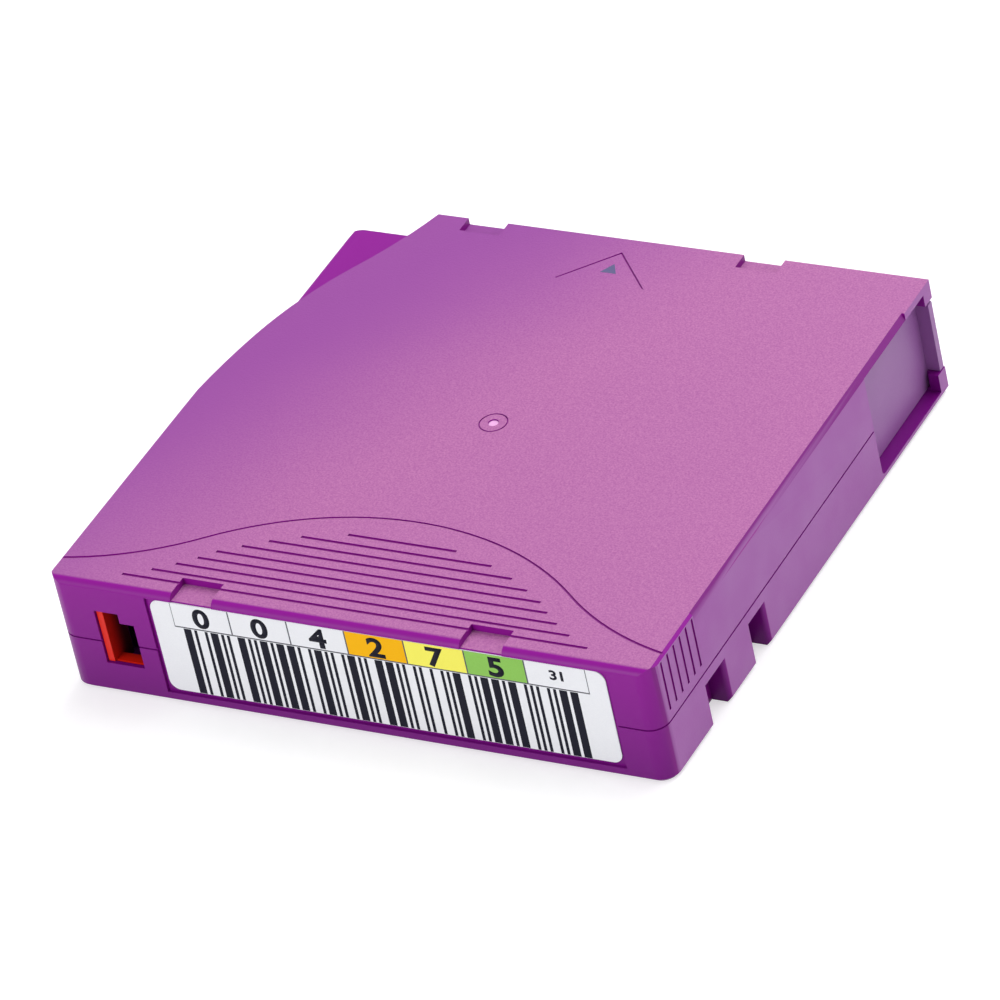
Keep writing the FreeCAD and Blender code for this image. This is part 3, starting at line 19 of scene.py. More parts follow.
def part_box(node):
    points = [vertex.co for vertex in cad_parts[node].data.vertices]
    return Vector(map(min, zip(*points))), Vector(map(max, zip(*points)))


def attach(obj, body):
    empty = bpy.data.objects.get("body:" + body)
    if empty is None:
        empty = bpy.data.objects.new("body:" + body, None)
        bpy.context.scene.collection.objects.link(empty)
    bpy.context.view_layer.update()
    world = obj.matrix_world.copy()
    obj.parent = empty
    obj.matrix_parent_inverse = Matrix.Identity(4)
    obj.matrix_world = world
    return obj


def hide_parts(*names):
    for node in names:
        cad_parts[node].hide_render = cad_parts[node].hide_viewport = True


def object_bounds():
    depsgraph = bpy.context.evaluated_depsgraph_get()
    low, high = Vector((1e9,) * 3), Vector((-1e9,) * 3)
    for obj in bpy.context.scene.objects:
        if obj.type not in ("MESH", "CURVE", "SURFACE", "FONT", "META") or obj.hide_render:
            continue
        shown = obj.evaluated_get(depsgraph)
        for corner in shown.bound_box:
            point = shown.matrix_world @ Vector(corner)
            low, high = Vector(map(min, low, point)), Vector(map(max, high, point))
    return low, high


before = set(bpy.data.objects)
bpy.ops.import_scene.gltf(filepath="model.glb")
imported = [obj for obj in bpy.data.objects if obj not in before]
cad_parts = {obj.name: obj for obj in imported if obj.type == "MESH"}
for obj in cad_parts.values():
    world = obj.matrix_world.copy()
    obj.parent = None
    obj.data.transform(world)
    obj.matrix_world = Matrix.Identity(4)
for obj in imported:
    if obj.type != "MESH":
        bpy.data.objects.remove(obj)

logging.basicConfig(level=logging.INFO, format="%(message)s")
LOG = logging.getLogger("cartridge")

MM = 0.001
PACKED_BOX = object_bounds()

Pair = tuple[float, float]
Place = tuple[float, float, float]
Colour = tuple[float, float, float]
Socket = bpy.types.NodeSocket
Value = Union[Socket, Colour, float]


def paint(red: int, green: int, blue: int) -> Colour:
    """Turn a screen colour into the linear one that shaders take.

    Each channel c in 0..1 becomes c / 12.92 up to 0.04045 and ((c + 0.055) / 1.055) ^ 2.4 above.

    Args:
        red: Red, 0 to 255.
        green: Green, 0 to 255.
        blue: Blue, 0 to 255.

    Returns:
        The three linear channels.
    """
    knee, slope, shift, power = 0.04045, 12.92, 0.055, 2.4
    channels = np.array([red, green, blue]) / 255
    curved = ((channels + shift) / (1 + shift)) ** power
    linear = np.where(channels <= knee, channels / slope, curved)
    return tuple(float(channel) for channel in linear)


# ------------------------------------------------------------------------------------------------
# Meshes worked out in code
# ------------------------------------------------------------------------------------------------

def mesh_from(name: str, points: np.ndarray, faces: np.ndarray) -> bpy.types.Object:
    """Make an object at the origin from arrays of points and faces.

    Args:
        name: The piece's name.
        points: Places of the vertices in metres, one row each.
        faces: Vertex numbers, one row of three or four for each face.

    Returns:
        The new object, linked to the scene.
    """
    mesh = bpy.data.meshes.new(name)
    mesh.from_pydata(points.reshape(-1, 3).tolist(), [], faces.tolist())
    mesh.update()
    piece = bpy.data.objects.new(name, mesh)
    bpy.context.scene.collection.objects.link(piece)
    return piece


def ring_faces(rings: int, around: int) -> np.ndarray:
    """Number the four corners of each face between closed rings of points.

    Args:
        rings: How many rings there are.
        around: Points on each ring.

    Returns:
        One row of four vertex numbers for each face.
    """
    ring, point = np.meshgrid(np.arange(rings - 1), np.arange(around), indexing="ij")
    after = (point + 1) % around
    corners = [ring * around + point, ring * around + after,
               (ring + 1) * around + after, (ring + 1) * around + point]
    return np.stack(corners, axis=-1).reshape(-1, 4)


def cut_rectangle(width: float, height: float, cut: float) -> np.ndarray:
    """Work out a rectangle with its corners cut off, about its own centre.

    Args:
        width: Size along the first axis.
        height: Size along the second axis.
        cut: How far along both edges each corner is cut.

    Returns:
        Eight points round the outline, one row of two for each.
    """
    x, y = width / 2, height / 2
    near_x, shade_start_y = x - cut, y - cut
    return np.array([(x, shade_start_y), (near_x, y), (-near_x, y), (-x, shade_start_y),
                     (-x, -shade_start_y), (-near_x, -y), (near_x, -y), (x, -shade_start_y)])


# ------------------------------------------------------------------------------------------------
# Materials
# ------------------------------------------------------------------------------------------------

@dataclass(frozen=True)
class Pattern:
    """Fractal noise, and the two of its values that become 0 and 1.

    Size is the width of the largest lumps in metres, detail the number of finer layers and rough
    their strength.  A stretch over 1 makes the lumps shorter along that axis.
    """

    size: float
    detail: float = 3.0
    rough: float = 0.5
    stretch: tuple[float, float, float] = (1, 1, 1)
    low: float = 0.3
    high: float = 0.7


class NodeSheet:
    """A material's node tree, with short calls that add and join its nodes."""

    def __init__(self, name: str) -> None:
        """Start an empty material with its output and a principled shader.

        Args:
            name: The material's name.
        """
        self.material = bpy.data.materials.new(name)
        self.material.use_nodes = True
        self.tree = self.material.node_tree
        self.tree.nodes.clear()
        output = self.tree.nodes.new("ShaderNodeOutputMaterial")
        self.shader = self.tree.nodes.new("ShaderNodeBsdfPrincipled")
        self.join(self.shader.outputs["BSDF"], output.inputs["Surface"])
        self.coordinates = self.tree.nodes.new("ShaderNodeTexCoord")

    def join(self, source: Socket, target: Socket) -> None:
        """Link one node's output to another's input."""
        self.tree.links.new(source, target)

    def feed(self, target: Socket, value: Value) -> None:
        """Set an input to a plain value, or link it where the value is another node's output."""
        if isinstance(value, bpy.types.NodeSocket):
            self.join(value, target)
        elif isinstance(value, tuple):
            target.default_value = (*value, 1.0)
        else:
            target.default_value = value

    def noise(self, pattern: Pattern) -> Socket:
        """Add a pattern's noise over the piece's own coordinates, about 0.5 on average."""
        mapping = self.tree.nodes.new("ShaderNodeMapping")
        mapping.inputs["Scale"].default_value = pattern.stretch
        self.join(self.coordinates.outputs["Object"], mapping.inputs["Vector"])
        node = self.tree.nodes.new("ShaderNodeTexNoise")
        node.inputs["Scale"].default_value = 1 / pattern.size
        node.inputs["Detail"].default_value = pattern.detail
        node.inputs["Roughness"].default_value = pattern.rough
        self.join(mapping.outputs["Vector"], node.inputs["Vector"])
        return node.outputs["Fac"]

    def spread(self, pattern: Pattern) -> Socket:
        """Add a pattern's noise and carry its two values to 0 and 1."""
        return self.ramp(self.noise(pattern), pattern.low, pattern.high)

    def axis(self, source: str, which: str) -> Socket:
        """Take one axis of the piece's own coordinates (Object) or of its Normal."""
        node = self.tree.nodes.new("ShaderNodeSeparateXYZ")
        self.join(self.coordinates.outputs[source], node.inputs["Vector"])
        return node.outputs[which]

    def distance(self, centre_y: float) -> Socket:
        """Measure how far a point is from an upright axis in the middle of the case.

        That is the root of x squared plus the square of y less the axis's y.

        Args:
            centre_y: Y of the axis.

        Returns:
            The distance in metres.
        """
        across = self.calculate("POWER", self.axis("Object", "X"), 2.0)
        offset = self.calculate("SUBTRACT", self.axis("Object", "Y"), centre_y)
        along = self.calculate("POWER", offset, 2.0)
        return self.calculate("SQRT", self.total(across, along))

    def ramp(self, value: Socket, low: float, high: float, first: float = 0.0,
             last: float = 1.0, smooth: bool = False) -> Socket:
        """Carry a value from one range to another and hold it at both ends."""
        node = self.tree.nodes.new("ShaderNodeMapRange")
        node.interpolation_type = "SMOOTHSTEP" if smooth else "LINEAR"
        for name, number in (("From Min", low), ("From Max", high), ("To Min", first),
                             ("To Max", last)):
            node.inputs[name].default_value = number
        self.join(value, node.inputs["Value"])
        return node.outputs["Result"]

    def calculate(self, operation: str, first: Value, second: Value = 0.0) -> Socket:
        """Work out one arithmetic step of one or two values."""
        node = self.tree.nodes.new("ShaderNodeMath")
        node.operation = operation
        self.feed(node.inputs[0], first)
        self.feed(node.inputs[1], second)
        return node.outputs["Value"]

    def total(self, first: Value, second: Value) -> Socket:
        """Add two values."""
        return self.calculate("ADD", first, second)

    def product(self, first: Value, second: Value) -> Socket:
        """Multiply two values."""
        return self.calculate("MULTIPLY", first, second)

    def larger(self, first: Value, second: Value) -> Socket:
        """Take the larger of two values."""
        return self.calculate("MAXIMUM", first, second)

    def above(self, value: Value, limit: float) -> Socket:
        """Give 1 where a value is over a limit, and 0 elsewhere."""
        return self.calculate("GREATER_THAN", value, limit)

    def between(self, low: float, high: float, value: Value) -> Socket:
        """Give 1 where a value lies between two limits, and 0 elsewhere."""
        return self.product(self.above(value, low), self.calculate("LESS_THAN", value, high))

    def mix(self, share: Value, first: Value, second: Value) -> Socket:
        """Blend two colours by the share of the second."""
        node = self.tree.nodes.new("ShaderNodeMix")
        node.data_type = "RGBA"
        self.feed(node.inputs["Factor"], share)
        self.feed(node.inputs["A"], first)
        self.feed(node.inputs["B"], second)
        return node.outputs["Result"]

    def bump(self, height: Socket, depth: float, strength: float) -> None:
        """Raise the surface by a height in 0..1 times a depth in metres."""
        node = self.tree.nodes.new("ShaderNodeBump")
        node.inputs["Strength"].default_value = strength
        node.inputs["Distance"].default_value = depth
        self.join(height, node.inputs["Height"])
        self.join(node.outputs["Normal"], self.shader.inputs["Normal"])

    def finish(self, colour: Value, rough: Value, metal: float = 0.0,
               specular: float = 0.5) -> bpy.types.Material:
        """Set the shader's main inputs.

        Args:
            colour: Base colour, plain or from a node.
            rough: Roughness, plain or from a node.
            metal: 1 for bare metal.
            specular: Strength of the plain reflection.

        Returns:
            The finished material.
        """
        self.feed(self.shader.inputs["Base Color"], colour)
        self.feed(self.shader.inputs["Roughness"], rough)
        self.shader.inputs["Metallic"].default_value = metal
        self.shader.inputs["Specular IOR Level"].default_value = specular
        return self.material


@dataclass(frozen=True)
class MouldedShell:
    """Coloured plastic of the case: fine grain where the mould was etched, smooth elsewhere.

    Top is the height of the case's upper face and side the x of its right face.  A mask starts
    and is full at the two values of its pair: for a lean, the normal's part along an axis, and
    for a reach, the distance from a face.  A groove's floor lies between its two distances.
    """

    name: str
    top: float
    side: float
    grain_colour: Colour = paint(181, 113, 164)
    speck_colour: Colour = paint(157, 84, 147)
    # Painted shade: the roof darkens towards the swept corner in this colour.
    far_shade_colour: Colour = paint(142, 68, 148)
    # Paler side colour: partly the sides' own satin grain, partly painted sheen.
    flank_sheen_colour: Colour = paint(160, 96, 167)
    smooth_colour: Colour = paint(140, 14, 144)
    # Painted shade: smooth faces darken towards the bottom in this colour.
    low_shade_colour: Colour = paint(102, 10, 112)
    # Painted shade: smooth faces turned sideways, such as the slanted edge strips and notch
    # walls, take this colour.
    side_shade_colour: Colour = paint(126, 10, 128)
    groove_colour: Colour = paint(150, 46, 146)
    gate_colour: Colour = paint(226, 168, 218)
    grain: Pattern = Pattern(0.32 * MM, rough=0.65, low=0.34, high=0.68)
    cloud: Pattern = Pattern(9 * MM, detail=2.0)
    waver: Pattern = Pattern(40 * MM, detail=1.0)
    level_lean: Pair = (0.93, 0.995)
    flank_lean: Pair = (0.96, 0.995)
    side_shade_lean: Pair = (0.85, 0.92)
    roof_reach: Pair = (1.35 * MM, 1.25 * MM)
    base_reach: Pair = (0.3 * MM, 0.2 * MM)
    flank_reach: Pair = (0.6 * MM, 0.3 * MM)
    groove_reach: Pair = (0.3 * MM, 0.02 * MM)
    gate_reach: float = 0.6 * MM
    gate_y: float = 1.1 * MM
    gate_rim: Pair = (0.7 * MM, 0.88 * MM)
    # Where the roof's painted shade starts and is full, how it turns with x and how far it
    # wavers.
    far_shade_range: Pair = (15 * MM, 118 * MM)
    far_shade_turn: float = 2.0
    far_shade_waver: float = 30 * MM
    low_shade_share: float = 0.7
    cloud_share: float = 0.25
    flank_grain: float = 0.3
    rough_range: Pair = (0.33, 0.48)
    grain_rough: float = 0.06
    least_relief: float = 0.1
    relief: float = 0.02 * MM
    relief_strength: float = 0.8

    def flatness(self, sheet: NodeSheet) -> tuple[Socket, Socket]:
        """Tell the etched faces from the smooth ones.

        The roof is where the normal's z is near 1 and the height near the top, and the underside,
        where it is near -1 and the height near 0, has the same etch.  A flank is where the
        absolute x of the normal is near 1 and the absolute x of the place is near the side, so
        that slanted strips, rounds and the walls of notches stay smooth.

        Args:
            sheet: The material being built.

        Returns:
            The share of level face and the share of flank at each point.
        """
        height, slope = sheet.axis("Object", "Z"), sheet.axis("Normal", "Z")
        out = sheet.calculate("ABSOLUTE", sheet.axis("Object", "X"))
        lean = sheet.calculate("ABSOLUTE", sheet.axis("Normal", "X"))
        upward = sheet.ramp(slope, *self.level_lean)
        near_top = sheet.ramp(height, *(self.top - reach for reach in self.roof_reach))
        downward = sheet.ramp(slope, *(-part for part in self.level_lean))
        near_base = sheet.ramp(height, *self.base_reach)
        sideways = sheet.ramp(lean, *self.flank_lean)
        near_side = sheet.ramp(out, *(self.side - reach for reach in self.flank_reach))
        level = sheet.larger(sheet.product(upward, near_top), sheet.product(downward, near_base))
        return level, sheet.product(sideways, near_side)

    def in_groove(self, sheet: NodeSheet) -> Socket:
        """Find the floors of the fine grooves, just under the roof and the flanks.

        Args:
            sheet: The material being built.

        Returns:
            1 inside a groove and 0 elsewhere.
        """
        out = sheet.calculate("ABSOLUTE", sheet.axis("Object", "X"))
        lean = sheet.calculate("ABSOLUTE", sheet.axis("Normal", "X"))
        deepest, shallowest = self.groove_reach
        under = sheet.between(self.top - deepest, self.top - shallowest,
                              sheet.axis("Object", "Z"))
        level = sheet.above(sheet.axis("Normal", "Z"), self.level_lean[1])
        behind = sheet.between(self.side - deepest, self.side - shallowest, out)
        plumb = sheet.above(lean, self.flank_lean[1])
        return sheet.larger(sheet.product(under, level), sheet.product(behind, plumb))

    def in_gate(self, sheet: NodeSheet) -> Socket:
        """Find the small disc at the gate mark, whitened where the sprue broke off.

        Args:
            sheet: The material being built.

        Returns:
            1 on the disc and 0 elsewhere.
        """
        near = sheet.above(sheet.axis("Object", "Z"), self.top - self.gate_reach)
        inside = sheet.ramp(sheet.distance(self.gate_y), *self.gate_rim, 1.0, 0.0)
        return sheet.product(near, inside)

    def etched_colour(self, sheet: NodeSheet, specks: Socket) -> Socket:
        """Work out the colour of the level faces.

        It runs from light near the label end to a bluer, darker tone towards the swept corner,
        along y less twice x; that darkening is painted shade.

        Args:
            sheet: The material being built.
            specks: The grain, 0 to 1.

        Returns:
            The colour.
        """
        etched = sheet.mix(specks, self.speck_colour, self.grain_colour)
        aside = sheet.product(sheet.axis("Object", "X"), self.far_shade_turn)
        along = sheet.calculate("SUBTRACT", sheet.axis("Object", "Y"), aside)
        waver = sheet.product(sheet.noise(self.waver), self.far_shade_waver)
        # Painted shade, darker towards the swept corner.
        far_shade = sheet.ramp(sheet.total(along, waver), *self.far_shade_range, smooth=True)
        return sheet.mix(far_shade, etched, self.far_shade_colour)

    def plain_colour(self, sheet: NodeSheet) -> Socket:
        """Work out the smooth faces' colour, with painted shade low down and on the slanted side
        edges.

        Args:
            sheet: The material being built.

        Returns:
            The colour.
        """
        # Painted shade, darker towards the bottom.
        low_shade = sheet.ramp(sheet.axis("Object", "Z"), 0.0, self.top, self.low_shade_share, 0.0)
        smooth = sheet.mix(low_shade, self.smooth_colour, self.low_shade_colour)
        # Painted shade on smooth faces turned sideways.
        lean = sheet.calculate("ABSOLUTE", sheet.axis("Normal", "X"))
        return sheet.mix(sheet.ramp(lean, *self.side_shade_lean), smooth, self.side_shade_colour)

    def material(self) -> bpy.types.Material:
        """Build the finish and return it."""
        sheet = NodeSheet(self.name)
        level, flank = self.flatness(sheet)
        specks = sheet.spread(self.grain)
        clouds = sheet.product(sheet.spread(self.cloud), self.cloud_share)
        # The sides' paler tone is partly their own grain and partly painted sheen.
        flank_sheen = sheet.mix(clouds, self.flank_sheen_colour, self.smooth_colour)
        colour = sheet.mix(level, self.plain_colour(sheet), self.etched_colour(sheet, specks))
        colour = sheet.mix(flank, colour, flank_sheen)
        colour = sheet.mix(self.in_groove(sheet), colour, self.groove_colour)
        colour = sheet.mix(self.in_gate(sheet), colour, self.gate_colour)
        grained = sheet.larger(level, sheet.product(flank, self.flank_grain))
        rough = sheet.total(sheet.ramp(grained, 0.0, 1.0, *self.rough_range),
                            sheet.product(specks, self.grain_rough))
        relief = sheet.ramp(grained, 0.0, 1.0, self.least_relief, 1.0)
        sheet.bump(sheet.product(specks, relief), self.relief, self.relief_strength)
        return sheet.finish(colour, rough, specular=0.2)


@dataclass(frozen=True)
class SmoothPlastic:
    """Unfilled moulded plastic with a slight flow mottle and fine handling marks."""

    name: str
    colour: Colour
    shade: Colour
    rough: float
    mottle_size: float = 6 * MM
    marks: Pattern = Pattern(0.5 * MM, rough=0.7, stretch=(1, 6, 1), low=0.45, high=0.75)
    mark_rough: float = 0.12
    relief: float = 0.004 * MM
    relief_strength: float = 0.5

    def material(self) -> bpy.types.Material:
        """Build the finish and return it."""
        sheet = NodeSheet(self.name)
        mottle = sheet.spread(Pattern(self.mottle_size))
        marks = sheet.spread(self.marks)
        rough = sheet.total(sheet.product(marks, self.mark_rough), self.rough)
        sheet.bump(marks, self.relief, self.relief_strength)
        return sheet.finish(sheet.mix(mottle, self.colour, self.shade), rough)


@dataclass(frozen=True)
class SunkPlastic:
    """Glossy plastic of a piece that sits in a window, with painted shade that darkens it with
    depth along y.
    """

    name: str
    colour: Colour
    # Painted shade: the colour the piece darkens to with depth.
    shadowed_colour: Colour
    shade_start_y: float
    shade_full_y: float
    mottle: Pattern = Pattern(3 * MM)
    rough_range: Pair = (0.3, 0.38)
    relief: float = 0.004 * MM
    relief_strength: float = 0.5

    def material(self) -> bpy.types.Material:
        """Build the finish and return it."""
        sheet = NodeSheet(self.name)
        # Painted shade, darker the deeper the point lies along y.
        depth = sheet.ramp(sheet.axis("Object", "Y"), self.shade_start_y, self.shade_full_y, smooth=True)
        mottle = sheet.spread(self.mottle)
        sheet.bump(mottle, self.relief, self.relief_strength)
        return sheet.finish(sheet.mix(depth, self.colour, self.shadowed_colour),
                            sheet.ramp(mottle, 0.0, 1.0, *self.rough_range), specular=0.25)


@dataclass(frozen=True)
class LabelPaper:
    """Matt coated paper, nearly white, with faint fibres."""

    name: str = "label_paper"
    colour: Colour = paint(244, 245, 249)
    shade: Colour = paint(232, 233, 240)
    fibres: Pattern = Pattern(0.25 * MM, detail=4.0, rough=0.6, stretch=(1, 1, 3), low=0.35)
    fibre_share: float = 0.5
    rough_range: Pair = (0.5, 0.62)
    relief: float = 0.004 * MM
    relief_strength: float = 0.6

    def material(self) -> bpy.types.Material:
        """Build the finish and return it."""
        sheet = NodeSheet(self.name)
        fibres = sheet.spread(self.fibres)
        share = sheet.product(fibres, self.fibre_share)
        sheet.bump(fibres, self.relief, self.relief_strength)
        return sheet.finish(sheet.mix(share, self.colour, self.shade),
                            sheet.ramp(fibres, 0.0, 1.0, *self.rough_range), specular=0.35)


@dataclass(frozen=True)
class PrintInk:
    """Ink on the label or the case, thinner in places."""

    name: str
    colour: Colour
    thin: Colour
    cover: Pattern = Pattern(0.3 * MM, rough=0.6, high=0.72)
    thin_share: float = 0.5
    rough_range: Pair = (0.45, 0.58)
    relief: float = 0.002 * MM
    relief_strength: float = 0.5

    def material(self) -> bpy.types.Material:
        """Build the finish and return it."""
        sheet = NodeSheet(self.name)
        cover = sheet.spread(self.cover)
        share = sheet.product(cover, self.thin_share)
        sheet.bump(cover, self.relief, self.relief_strength)
        return sheet.finish(sheet.mix(share, self.colour, self.thin),
                            sheet.ramp(cover, 0.0, 1.0, *self.rough_range), specular=0.12)


@dataclass(frozen=True)
class DrawnSteel:
    """Bright steel with fine lines along the way it was drawn or turned."""

    name: str
    colour: Colour = paint(205, 207, 212)
    shade: Colour = paint(150, 152, 158)
    rough: float = 0.26
    stretch: tuple[float, float, float] = (1, 1, 14)
    line_size: float = 0.9 * MM
    line_rough: float = 0.14
    relief: float = 0.003 * MM
    relief_strength: float = 0.6

    def material(self) -> bpy.types.Material:
        """Build the finish and return it."""
        sheet = NodeSheet(self.name)
        lines = sheet.spread(Pattern(self.line_size, detail=4.0, rough=0.6, stretch=self.stretch,
                                     low=0.35))
        rough = sheet.total(sheet.product(lines, self.line_rough), self.rough)
        sheet.bump(lines, self.relief, self.relief_strength)
        return sheet.finish(sheet.mix(lines, self.colour, self.shade), rough, metal=1.0)


@dataclass(frozen=True)
class WoundFilm:
    """Dark coated film: the pack's edge shows its windings as fine rings."""

    name: str
    centre_y: float
    colour: Colour = paint(38, 33, 34)
    shade: Colour = paint(66, 56, 54)
    rings: Pattern = Pattern(0.35 * MM, detail=4.0)
    rough_range: Pair = (0.28, 0.42)
    relief: float = 0.01 * MM
    relief_strength: float = 0.7

    def material(self) -> bpy.types.Material:
        """Build the finish and return it: the rings are noise over the distance from the axis."""
        sheet = NodeSheet(self.name)
        node = sheet.tree.nodes.new("ShaderNodeTexNoise")
        node.noise_dimensions = "1D"
        node.inputs["Scale"].default_value = 1 / self.rings.size
        node.inputs["Detail"].default_value = self.rings.detail
        sheet.join(sheet.distance(self.centre_y), node.inputs["W"])
        rings = sheet.ramp(node.outputs["Fac"], self.rings.low, self.rings.high)
        sheet.bump(rings, self.relief, self.relief_strength)
        return sheet.finish(sheet.mix(rings, self.colour, self.shade),
                            sheet.ramp(rings, 0.0, 1.0, *self.rough_range))


def coat_node(node: str, material: bpy.types.Material) -> None:
    """Put a material on a model node through its object's slots.

    Args:
        node: The node's name.
        material: The material it takes.
    """
    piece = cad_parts[node]
    if not piece.material_slots:
        piece.data.materials.append(material)
    for slot in piece.material_slots:
        slot.link = "OBJECT"
        slot.material = material
    LOG.info("%-22s takes %s", node, material.name)


# ------------------------------------------------------------------------------------------------
# The case and what is printed on it
# ------------------------------------------------------------------------------------------------

@dataclass
class TopEdges:
    """The upper shell with its long edges worked, as a piece that stands for the model's node.

    The node is square along these edges but for a slanted corner by the entry end, which is made
    square first.  Each cut is a wedge along Y whose section is a right triangle with its square
    corner on the shell's edge.
    """

    bevel_depth: float = 0.5 * MM
    bevel_height: float = 1.4 * MM
    bevel_start: float = -36.0 * MM
    bevel_end: float = 41.7 * MM
    small: float = 0.45 * MM
    left_end: float = -9.0 * MM
    ledge_level: float = 16.2 * MM
    ledge_bevel: float = 0.8 * MM
    ledge_start: float = 14.3 * MM
    ledge_end: float = 48.5 * MM
    over: float = 0.3 * MM
    margin: float = 0.02 * MM
    foot_margin: float = 0.05 * MM
    merge_distance: float = 1e-6
    smooth_turn: float = math.radians(24)
    least_length: float = 1e-12

    def wedge(self, edge: Pair, sizes: Pair, start: float, end: float) -> bpy.types.Object:
        """Make one cutting wedge, carried outside the shell so that no faces coincide.

        With the edge at (x, z), width w and height h, the slant runs from (x, z - h) to
        (x - w, z), both moved along it by the same share, and the third corner lies outside.

        Args:
            edge: X and Z of the shell's edge.
            sizes: Width and height of the wedge, the width with the sign of the edge's x.
            start: Y of one end.
            end: Y of the other end.

        Returns:
            The wedge.
        """
        x, z = edge
        wide, tall = sizes
        share = self.over / abs(wide)
        section = [(x + wide * share, z - tall * (1 + share)),
                   (x - wide * (1 + share), z + tall * share),
                   (x + wide * share, z + tall * share)]
        points = np.array([(across, y, up) for y in (start, end) for across, up in section])
        faces = np.array([(0, 2, 1), (3, 4, 5), (0, 1, 4), (0, 4, 3), (1, 2, 5), (1, 5, 4),
                          (2, 0, 3), (2, 3, 5)])
        wedge = mesh_from("edge_wedge", points, faces)
        work = bmesh.new()
        work.from_mesh(wedge.data)
        bmesh.ops.recalc_face_normals(work, faces=work.faces)
        work.to_mesh(wedge.data)
        work.free()
        return wedge

    def square_corner(self, mesh: bpy.types.Mesh, right: float, top: float) -> None:
        """Bring the shell's slanted corner by the entry end out to the full width.

        Args:
            mesh: The copy of the shell's mesh.
            right: X of the shell's right face.
            top: Height of its upper face.
        """
        work = bmesh.new()
        work.from_mesh(mesh)
        bmesh.ops.remove_doubles(work, verts=work.verts, dist=self.merge_distance)
        behind = self.bevel_end - self.margin
        beside = right - self.bevel_depth - self.margin
        over_foot = top - self.bevel_height + self.foot_margin
        for vertex in work.verts:
            place = vertex.co
            if place.y > behind and place.z > over_foot and place.x > beside:
                place.x = right
        bmesh.ops.dissolve_degenerate(work, edges=work.edges, dist=self.merge_distance)
        bmesh.ops.recalc_face_normals(work, faces=work.faces)
        work.to_mesh(mesh)
        work.free()

    def smooth_rounds(self, mesh: bpy.types.Mesh) -> None:
        """Shade the rounds smoothly and keep the flat faces flat.

        A corner's normal is the sum of area times normal over the faces round its vertex that
        turn from its own face by less than the limit, so a large flat face outweighs a round.

        Args:
            mesh: The shell's mesh.
        """
        mesh.shade_smooth()
        normals = np.empty(len(mesh.polygons) * 3)
        areas = np.empty(len(mesh.polygons))
        mesh.polygons.foreach_get("normal", normals)
        mesh.polygons.foreach_get("area", areas)
        normals = normals.reshape(-1, 3)
        around: list[list[int]] = [[] for _ in mesh.vertices]
        for polygon in mesh.polygons:
            for vertex in polygon.vertices:
                around[vertex].append(polygon.index)
        limit = math.cos(self.smooth_turn)
        corners = np.empty((len(mesh.loops), 3))
        for polygon in mesh.polygons:
            own = normals[polygon.index]
            for loop in polygon.loop_indices:
                near = np.array(around[mesh.loops[loop].vertex_index])
                near = near[normals[near] @ own > limit]
                total = (normals[near] * areas[near, None]).sum(axis=0)
                corners[loop] = total / max(float(np.linalg.norm(total)), self.least_length)
        mesh.normals_split_custom_set(corners.tolist())

    def build(self) -> bpy.types.Object:
        """Copy the upper shell, work its edges and let the copy stand for the node.

        Returns:
            The new piece.
        """
        (left, front, _), (right, _, top) = PACKED_BOX
        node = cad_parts["top_shell"]
        mesh = node.data.copy()
        self.square_corner(mesh, right, top)
        piece = bpy.data.objects.new("upper_shell", mesh)
        piece.matrix_world = node.matrix_world
        bpy.context.scene.collection.objects.link(piece)
        bevel = (self.bevel_depth, self.bevel_height)
        before = front - MM
        cuts = [
            ((right, top), bevel, self.bevel_start, self.bevel_end),
            ((right, top), (self.small, self.small), before, self.bevel_start),
            ((left, top), (-self.small, self.small), before, self.left_end),
            ((left, self.ledge_level), (-self.ledge_bevel, self.ledge_bevel), self.ledge_start,
             self.ledge_end),
        ]
        wedges = [self.wedge(*cut) for cut in cuts]
        for wedge in wedges:
            cut = piece.modifiers.new("cut", "BOOLEAN")
            cut.operation = "DIFFERENCE"
            cut.solver = "EXACT"
            cut.object = wedge
        graph = bpy.context.evaluated_depsgraph_get()
        worked = bpy.data.meshes.new_from_object(piece.evaluated_get(graph))
        piece.modifiers.clear()
        piece.data = worked
        for wedge in wedges:
            bpy.data.objects.remove(wedge)
        self.smooth_rounds(worked)
        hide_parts("top_shell")
        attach(piece, "case")
        LOG.info("%-22s built, %d faces", piece.name, len(worked.polygons))
        return piece


